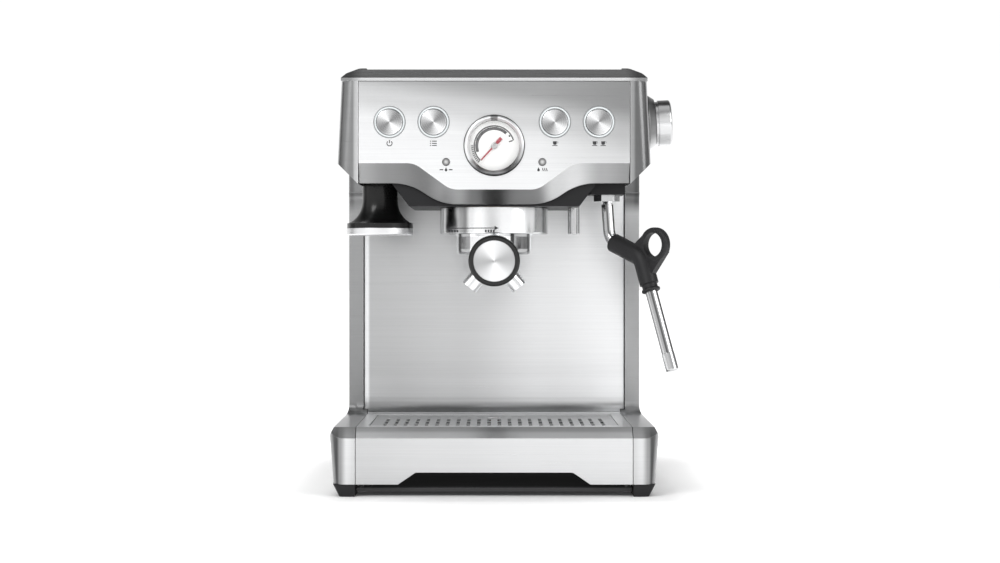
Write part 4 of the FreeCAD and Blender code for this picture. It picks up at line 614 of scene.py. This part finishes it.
WEARERS = {
    "fascia": ["fascia"], "splashback": ["splashback"], "tray_cover": ["tray_cover"],
    "top_deck": ["top_deck", "warming_plate"],
    "cheek": ["side_panel_left", "side_panel_right", "dial_surround"],
    "grate": ["drip_grate", "head_frame"],
    "collar": ["group_collar"],
    "spun": ["power_button", "program_button", "single_cup_button", "double_cup_button"],
    "end_disc": ["handle_cap"], "dial": ["steam_dial"],
    "cup": ["portafilter_cup"], "bezel": ["gauge_bezel"],
    "spout": ["portafilter_spout"],
    "wand": ["wand_tube"],
    "polished": ["wand_tip", "hot_water_outlet", "wand_socket", "filter_basket"],
    "brushed_round": ["tamper_base", "shower_screen"],
    "fixing": ["housing_screws"],
    "black_gloss": ["tamper_grip", "portafilter_handle"],
    "black": ["feet", "gauge_case"], "dish": ["tray_dish"],
    "under": ["head_under_cover"],
    "housing": ["rear_housing", "cord_gland"], "pan": ["base_pan"],
    "rubber": ["wand_grip"],
    "seal": ["group_seal", "pump_mounts"],
    "ring": ["button_rings"], "lamp": ["indicator_lamps"],
    "face": ["gauge_dial"], "needle": ["gauge_needle"], "lens": ["gauge_lens"],
    "tank": ["water_tank"], "lid": ["tank_lid"],
    "nylon": ["flow_meter", "wand_seat", "tank_valve"], "filter": ["filter_holder"],
    "float": ["tray_float"], "silicone": ["water_hoses"], "pump": ["pump"],
    "brass": ["group_block", "steam_valve", "solenoid_valve"], "cast": ["thermocoil"],
    "pipe": ["pressure_pipes"], "board": ["control_board"],
}


def dress_nodes():
    dressed = set()
    for finish, names in WEARERS.items():
        for name in names:
            nodes[name].data.materials.clear()
            nodes[name].data.materials.append(finishes[finish])
            dressed.add(name)
    missing = sorted(set(nodes) - dressed)
    if missing:
        raise ValueError(f"no finish for {missing}")


# ---------------------------------------------------------------- printed and set-on details

INK_SINK, INK_PROUD = 0.05 * MM, 0.06 * MM


def strip(points, width):
    """A flat band along points, as one closed outline. All shapes are in the plane (u, v)."""
    left, right = [], []
    for index, point in enumerate(points):
        before = points[max(index - 1, 0)]
        after = points[min(index + 1, len(points) - 1)]
        along = (Vector(after) - Vector(before)).normalized()
        side = Vector((-along.y, along.x)) * width / 2
        left.append(Vector(point) + side)
        right.append(Vector(point) - side)
    return left + right[::-1]


def arc(u, v, radius, start, end, steps=24):
    """Points on a circle from one angle in degrees to another."""
    turns = [radians(start + (end - start) * step / steps) for step in range(steps + 1)]
    return [Vector((u + radius * cos(turn), v + radius * sin(turn))) for turn in turns]


def bar(u, v, width, height):
    half_u, half_v = width / 2, height / 2
    return [Vector((u - half_u, v - half_v)), Vector((u + half_u, v - half_v)),
            Vector((u + half_u, v + half_v)), Vector((u - half_u, v + half_v))]


def disc(u, v, radius, steps=24):
    return arc(u, v, radius, 0, 360, steps)[:-1]


def drop(u, v, size):
    """A drop with its point up."""
    return arc(u, v, size * 0.36, 150, 390, 20) + [Vector((u, v + size * 0.75))]


def print_on(name, outlines, node, look, up, body, finish):
    """Sets thin closed plates of these outlines on a node's surface, seen along look."""
    look, up = Vector(look), Vector(up)
    across = look.cross(up)
    mesh = bpy.data.meshes.new(name)
    shape = bmesh.new()
    reach = 0.4
    for outline in outlines:
        top, bottom = [], []
        for point in outline:
            start = across * point.x + up * point.y - look * reach
            hit, place, _, _ = nodes[node].ray_cast(start, look, distance=reach * 2)
            if not hit:
                raise ValueError(f"{name} misses {node}")
            top.append(shape.verts.new(place - look * INK_PROUD))
            bottom.append(shape.verts.new(place + look * INK_SINK))
        shape.faces.new(top)
        shape.faces.new(bottom[::-1])
        for index in range(len(top)):
            after = (index + 1) % len(top)
            shape.faces.new((top[index], bottom[index], bottom[after], top[after]))
    bmesh.ops.recalc_face_normals(shape, faces=shape.faces)
    bmesh.ops.triangulate(shape, faces=[face for face in shape.faces if len(face.verts) > 4])
    shape.to_mesh(mesh)
    shape.free()
    mesh.materials.append(finish)
    made = bpy.data.objects.new(name, mesh)
    bpy.context.scene.collection.objects.link(made)
    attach(made, body)


TO_WALL, UPWARD = (0, 1, 0), (0, 0, 1)
ink = moulded("black_ink", (0.02, 0.02, 0.022), 0.5, 1400, 0.00001)
scale_ink = moulded("grey_ink", (0.06, 0.06, 0.062), 0.5, 1400, 0.00001)


def print_front(name, outlines, node="fascia", finish=ink):
    """Prints marks whose outlines are already in the frame's (X, Z)."""
    print_on(name, outlines, node, TO_WALL, UPWARD, "housing", finish)


def cup(u, v, size):
    """A cup with its handle and saucer, as separate outlines."""
    bowl = [Vector((u - 0.42 * size, v + 0.42 * size)), Vector((u - 0.36 * size, v - 0.16 * size)),
            Vector((u - 0.20 * size, v - 0.30 * size)), Vector((u + 0.20 * size, v - 0.30 * size)),
            Vector((u + 0.36 * size, v - 0.16 * size)), Vector((u + 0.42 * size, v + 0.42 * size))]
    ear = strip(arc(u + 0.46 * size, v + 0.18 * size, 0.17 * size, 80, -70, 8), 0.08 * size)
    saucer = bar(u, v - 0.46 * size, 1.1 * size, 0.14 * size)
    return [bowl, ear, saucer]


def button_symbols():
    """Symbols under the four buttons: power, program, one cup and two cups."""
    size = 4.0 * MM
    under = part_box("button_rings")[0].z - 4.2 * MM
    power = centre("power_button").x
    line = 0.17 * size
    ring = strip(arc(power, under, 0.50 * size, 130, 410, 28), line)
    print_front("power_symbol", [ring, bar(power, under + 0.36 * size, line, 0.60 * size)])
    program = centre("program_button").x
    lines = []
    for index in range(3):
        level = under + (1 - index) * 0.42 * size
        lines.append(bar(program + 0.6 * MM, level, 3.8 * MM, line))
        lines.append(disc(program - 2.4 * MM, level, 0.65 * line, 12))
    print_front("program_symbol", lines)
    print_front("single_cup_symbol", cup(centre("single_cup_button").x, under, size * 0.95))
    pair = centre("double_cup_button").x
    print_front("double_cup_symbol",
                cup(pair - 3.3 * MM, under, size * 0.95) + cup(pair + 3.3 * MM, under, size * 0.95))


def lamp_symbols():
    """A drop under the left lamp, and a drop with steam under the right one."""
    at, (low, high) = centre("indicator_lamps"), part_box("indicator_lamps")
    away = (high.x - low.x) / 2 - (high.z - low.z) / 2
    level = low.z - 3.0 * MM
    left, right = at.x - away, at.x + away
    clean = [drop(left, level - 0.3 * MM, 2.8 * MM)]
    clean += [bar(left + side * 3.6 * MM, level, 2.8 * MM, 0.8 * MM) for side in (-1, 1)]
    print_front("clean_symbol", clean)
    steam = [drop(right - 3.0 * MM, level - 0.3 * MM, 2.8 * MM)]
    for index in range(3):
        u = right + (0.4 + index * 1.5) * MM
        wave = [Vector((u + 0.28 * MM * sin(step * tau / 8), level - 1.1 * MM + step * 0.28 * MM))
                for step in range(9)]
        steam.append(strip(wave, 0.65 * MM))
    print_front("steam_symbol", steam)


def collar_marks():
    """A turning arrow on the group collar, from the open mark to the closed mark."""
    low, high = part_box("group_collar")
    mid, line = (low.x + high.x) / 2, low.z + 4.3 * MM
    steps = 30
    run = [Vector((mid - (37 - 37 * step / steps) * MM, line)) for step in range(steps + 1)]
    head = [Vector((mid + 0.2 * MM, line + 1.6 * MM)), Vector((mid + 0.2 * MM, line - 1.6 * MM)),
            Vector((mid + 3.6 * MM, line))]
    print_front("lock_arrow", [strip(run, 0.7 * MM), head], "group_collar")
    blocks = []
    for start, count in ((-36.5, 4), (-7.6, 4)):
        for index in range(count):
            blocks.append(bar(mid + (start + 1.0 + index * 2.1) * MM, line - 2.3 * MM, 1.4 * MM, 2.0 * MM))
    print_front("lock_marks", blocks, "group_collar")


def spoke(u, v, turn, inner, outer, width):
    """A short band along a radius, at an angle in degrees."""
    ray = Vector((cos(radians(turn)), sin(radians(turn))))
    return strip([Vector((u, v)) + ray * inner, Vector((u, v)) + ray * outer], width)


def gauge_scale():
    """The gauge's scale: a grey band inside a dark arc with dots, an end mark, and graduations outside."""
    at = centre("gauge_dial")
    u, v = at.x, at.z
    reach, first, last = 15.6 * MM, 226, 16
    band = strip(arc(u, v, 13.6 * MM, 200, 46, 48), 2.4 * MM)
    print_front("gauge_band", [band], "gauge_dial", scale_ink)
    outline = strip(arc(u, v, reach, first, last, 64), 1.0 * MM)
    end = spoke(u, v, last, 11.9 * MM, 15.0 * MM, 1.0 * MM)
    ray = [Vector((cos(radians(turn)), sin(radians(turn)))) for turn in range(33, 160, 25)]
    dots = [disc(u + step.x * 14.2 * MM, v + step.y * 14.2 * MM, 0.8 * MM, 10) for step in ray]
    print_front("gauge_outline", [outline, end] + dots, "gauge_dial")
    ticks = [spoke(u, v, turn, 16.3 * MM, 18.1 * MM, 0.85 * MM) for turn in range(180, 226, 5)]
    print_front("gauge_ticks", ticks, "gauge_dial")


def turned_piece(name, at, direction, profile, body, finish):
    """A closed solid of revolution: profile is (distance along direction, radius) from end to end."""
    side = direction.orthogonal().normalized()
    other = direction.cross(side)
    steps = 48
    spokes = [side * cos(tau * step / steps) + other * sin(tau * step / steps) for step in range(steps)]
    shape = bmesh.new()
    rings = []
    for along, radius in profile:
        middle = at + direction * along
        rings.append([shape.verts.new(middle + ray * radius) for ray in spokes])
    for ring, after in zip(rings, rings[1:]):
        for step in range(steps):
            later = (step + 1) % steps
            shape.faces.new((ring[step], ring[later], after[later], after[step]))
    shape.faces.new(rings[0][::-1])
    shape.faces.new(rings[-1])
    bmesh.ops.recalc_face_normals(shape, faces=shape.faces)
    mesh = bpy.data.meshes.new(name)
    shape.to_mesh(mesh)
    shape.free()
    for face in mesh.polygons:
        face.use_smooth = len(face.vertices) == 4
    mesh.materials.append(finish)
    made = bpy.data.objects.new(name, mesh)
    bpy.context.scene.collection.objects.link(made)
    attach(made, body)


def needle_hub():
    """The domed steel cap that covers the gauge needle's boss."""
    at = centre("gauge_dial")
    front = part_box("gauge_needle")[0].y
    radius, rise = 2.5 * MM, 0.7 * MM
    start, steps, depth = 0.06, 8, 2.0 * MM
    turns = [start + (pi / 2 - start) * step / steps for step in range(steps + 1)]
    dome = [(-rise * cos(turn), radius * sin(turn)) for turn in turns]
    profile = dome + [(depth, radius)]
    turned_piece("needle_hub", Vector((at.x, front + 0.2 * MM, at.z)), Vector((0, 1, 0)), profile,
                 "needle", finishes["hub"])


# ---------------------------------------------------------------- studio

HALF_SHADOW = {"X": 118 * MM, "Y": 150 * MM}
SHADOW_FADE = 120 * MM


def floor():
    """A wide pale floor whose glow fades out under the machine, for a soft contact shadow."""
    half = 12.0
    mesh = bpy.data.meshes.new("studio_floor")
    mesh.from_pydata([(-half, -half, 0), (half, -half, 0), (half, half, 0), (-half, half, 0)], [],
                     [(0, 1, 2, 3)])
    made = Finish("floor_paper", Roughness=0.9)
    paper = made.noise((40, 40, 40), 3, 0.5)
    made.colour(made.tint((0.86, 0.86, 0.86), made.spread(paper, 0.99, 1.0)))
    split = made.put_in("ShaderNodeSeparateXYZ", made.place)
    low, high = cad_box
    outside = []
    for letter in "XY":
        mid = (getattr(low, letter.lower()) + getattr(high, letter.lower())) / 2
        half_side = HALF_SHADOW[letter]
        away = made.math("ABSOLUTE", made.math("SUBTRACT", split.outputs[letter], mid))
        outside.append(made.math("MAXIMUM", made.math("SUBTRACT", away, half_side), 0.0))
    reach = made.math("SQRT", made.math("ADD", made.math("MULTIPLY", outside[0], outside[0]),
                                        made.math("MULTIPLY", outside[1], outside[1])))
    glow = made.ramp(made.spread(reach, 0.0, 1.0, 0.0, SHADOW_FADE),
                     [(0.0, 0.02), (0.25, 0.20), (0.6, 0.44), (1.0, 0.52)])
    far = made.spread(reach, 0.0, 0.45, 0.8, 3.0)
    made.put(made.shader.inputs["Emission Color"], (1, 1, 1, 1))
    made.put(made.shader.inputs["Emission Strength"], made.math("ADD", glow, far))
    mesh.materials.append(made.material)
    plane = bpy.data.objects.new("studio_floor", mesh)
    bpy.context.scene.collection.objects.link(plane)


def surroundings():
    """White studio walls, a dimmer ceiling, a dark strip to each side and a dim area high behind."""
    world = bpy.data.worlds.new("studio")
    bpy.context.scene.world = world
    world.use_nodes = True
    tree = world.node_tree
    backdrop = tree.nodes["Background"]
    made = Tree(tree)
    direction = made.node("ShaderNodeTexCoord").outputs["Generated"]
    height = made.axis(direction, "Z")
    ceiling = made.ramp(height, [(0.0, 1.0), (0.25, 0.97), (0.50, 0.62), (0.78, 0.30), (1.0, 0.62)])
    back = made.axis(direction, "Y")
    strips = made.ramp(made.spread(back, 0.0, 1.0, -1.0, 1.0),
                       [(0.0, 0.95), (0.53, 0.85), (0.57, 0.10), (0.76, 0.10), (0.82, 1.0), (1.0, 1.0)])
    level = made.math("MULTIPLY", ceiling, strips)
    upper_back = made.math("MULTIPLY", made.spread(back, 0.0, 1.0, 0.40, 0.62),
                           made.spread(height, 0.0, 1.0, 0.12, 0.35))
    level = made.math("MULTIPLY", level, made.spread(upper_back, 1.0, 0.36))
    seen = made.node("ShaderNodeLightPath").outputs["Is Camera Ray"]
    level = made.math("MAXIMUM", level, made.math("MULTIPLY", seen, 1.02))
    made.put(backdrop.inputs["Color"], (1, 1, 1, 1))
    made.put(backdrop.inputs["Strength"], level)


def softbox(name, at, target, width, height, watts, mirrored=True):
    light = bpy.data.lights.new(name, "AREA")
    light.shape = "RECTANGLE"
    light.size, light.size_y = width, height
    light.energy = watts
    lamp = bpy.data.objects.new(name, light)
    bpy.context.scene.collection.objects.link(lamp)
    lamp.location = at
    lamp.rotation_euler = (Vector(target) - Vector(at)).to_track_quat("-Z", "Y").to_euler()
    lamp.visible_glossy = mirrored


def lights():
    middle = (cad_box[0] + cad_box[1]) / 2
    softbox("key_softbox", middle + Vector((-1.3, -1.7, 1.5)), middle, 1.1, 1.1, 26)
    softbox("fill_softbox", middle + Vector((1.6, -1.2, 0.9)), middle, 0.9, 1.4, 16)
    softbox("top_softbox", middle + Vector((0.0, 0.4, 2.0)), middle, 1.8, 1.4, 30, False)


CAMERA_AWAY, CAMERA_UP = 1.5, 178.2 * MM
FOCAL_LENGTH, SENSOR_WIDTH = 70.3, 36
SHIFT_X, SHIFT_Y = 0.0058, -0.0165


def camera():
    """Level and square to the front. Its distance is assumed, and its height follows from that."""
    lens = bpy.data.cameras.new("camera")
    lens.lens, lens.sensor_width = FOCAL_LENGTH, SENSOR_WIDTH
    lens.shift_x, lens.shift_y = SHIFT_X, SHIFT_Y
    view = bpy.data.objects.new("camera", lens)
    bpy.context.scene.collection.objects.link(view)
    view.location = (MIDDLE_X, BASE_FRONT - CAMERA_AWAY, CAMERA_UP)
    view.rotation_euler = (radians(90), 0, 0)
    bpy.context.scene.camera = view


camera()
surroundings()
lights()
floor()
dress_nodes()
button_symbols()
lamp_symbols()
collar_marks()
gauge_scale()
needle_hub()
bpy.context.scene.view_settings.view_transform = "Standard"
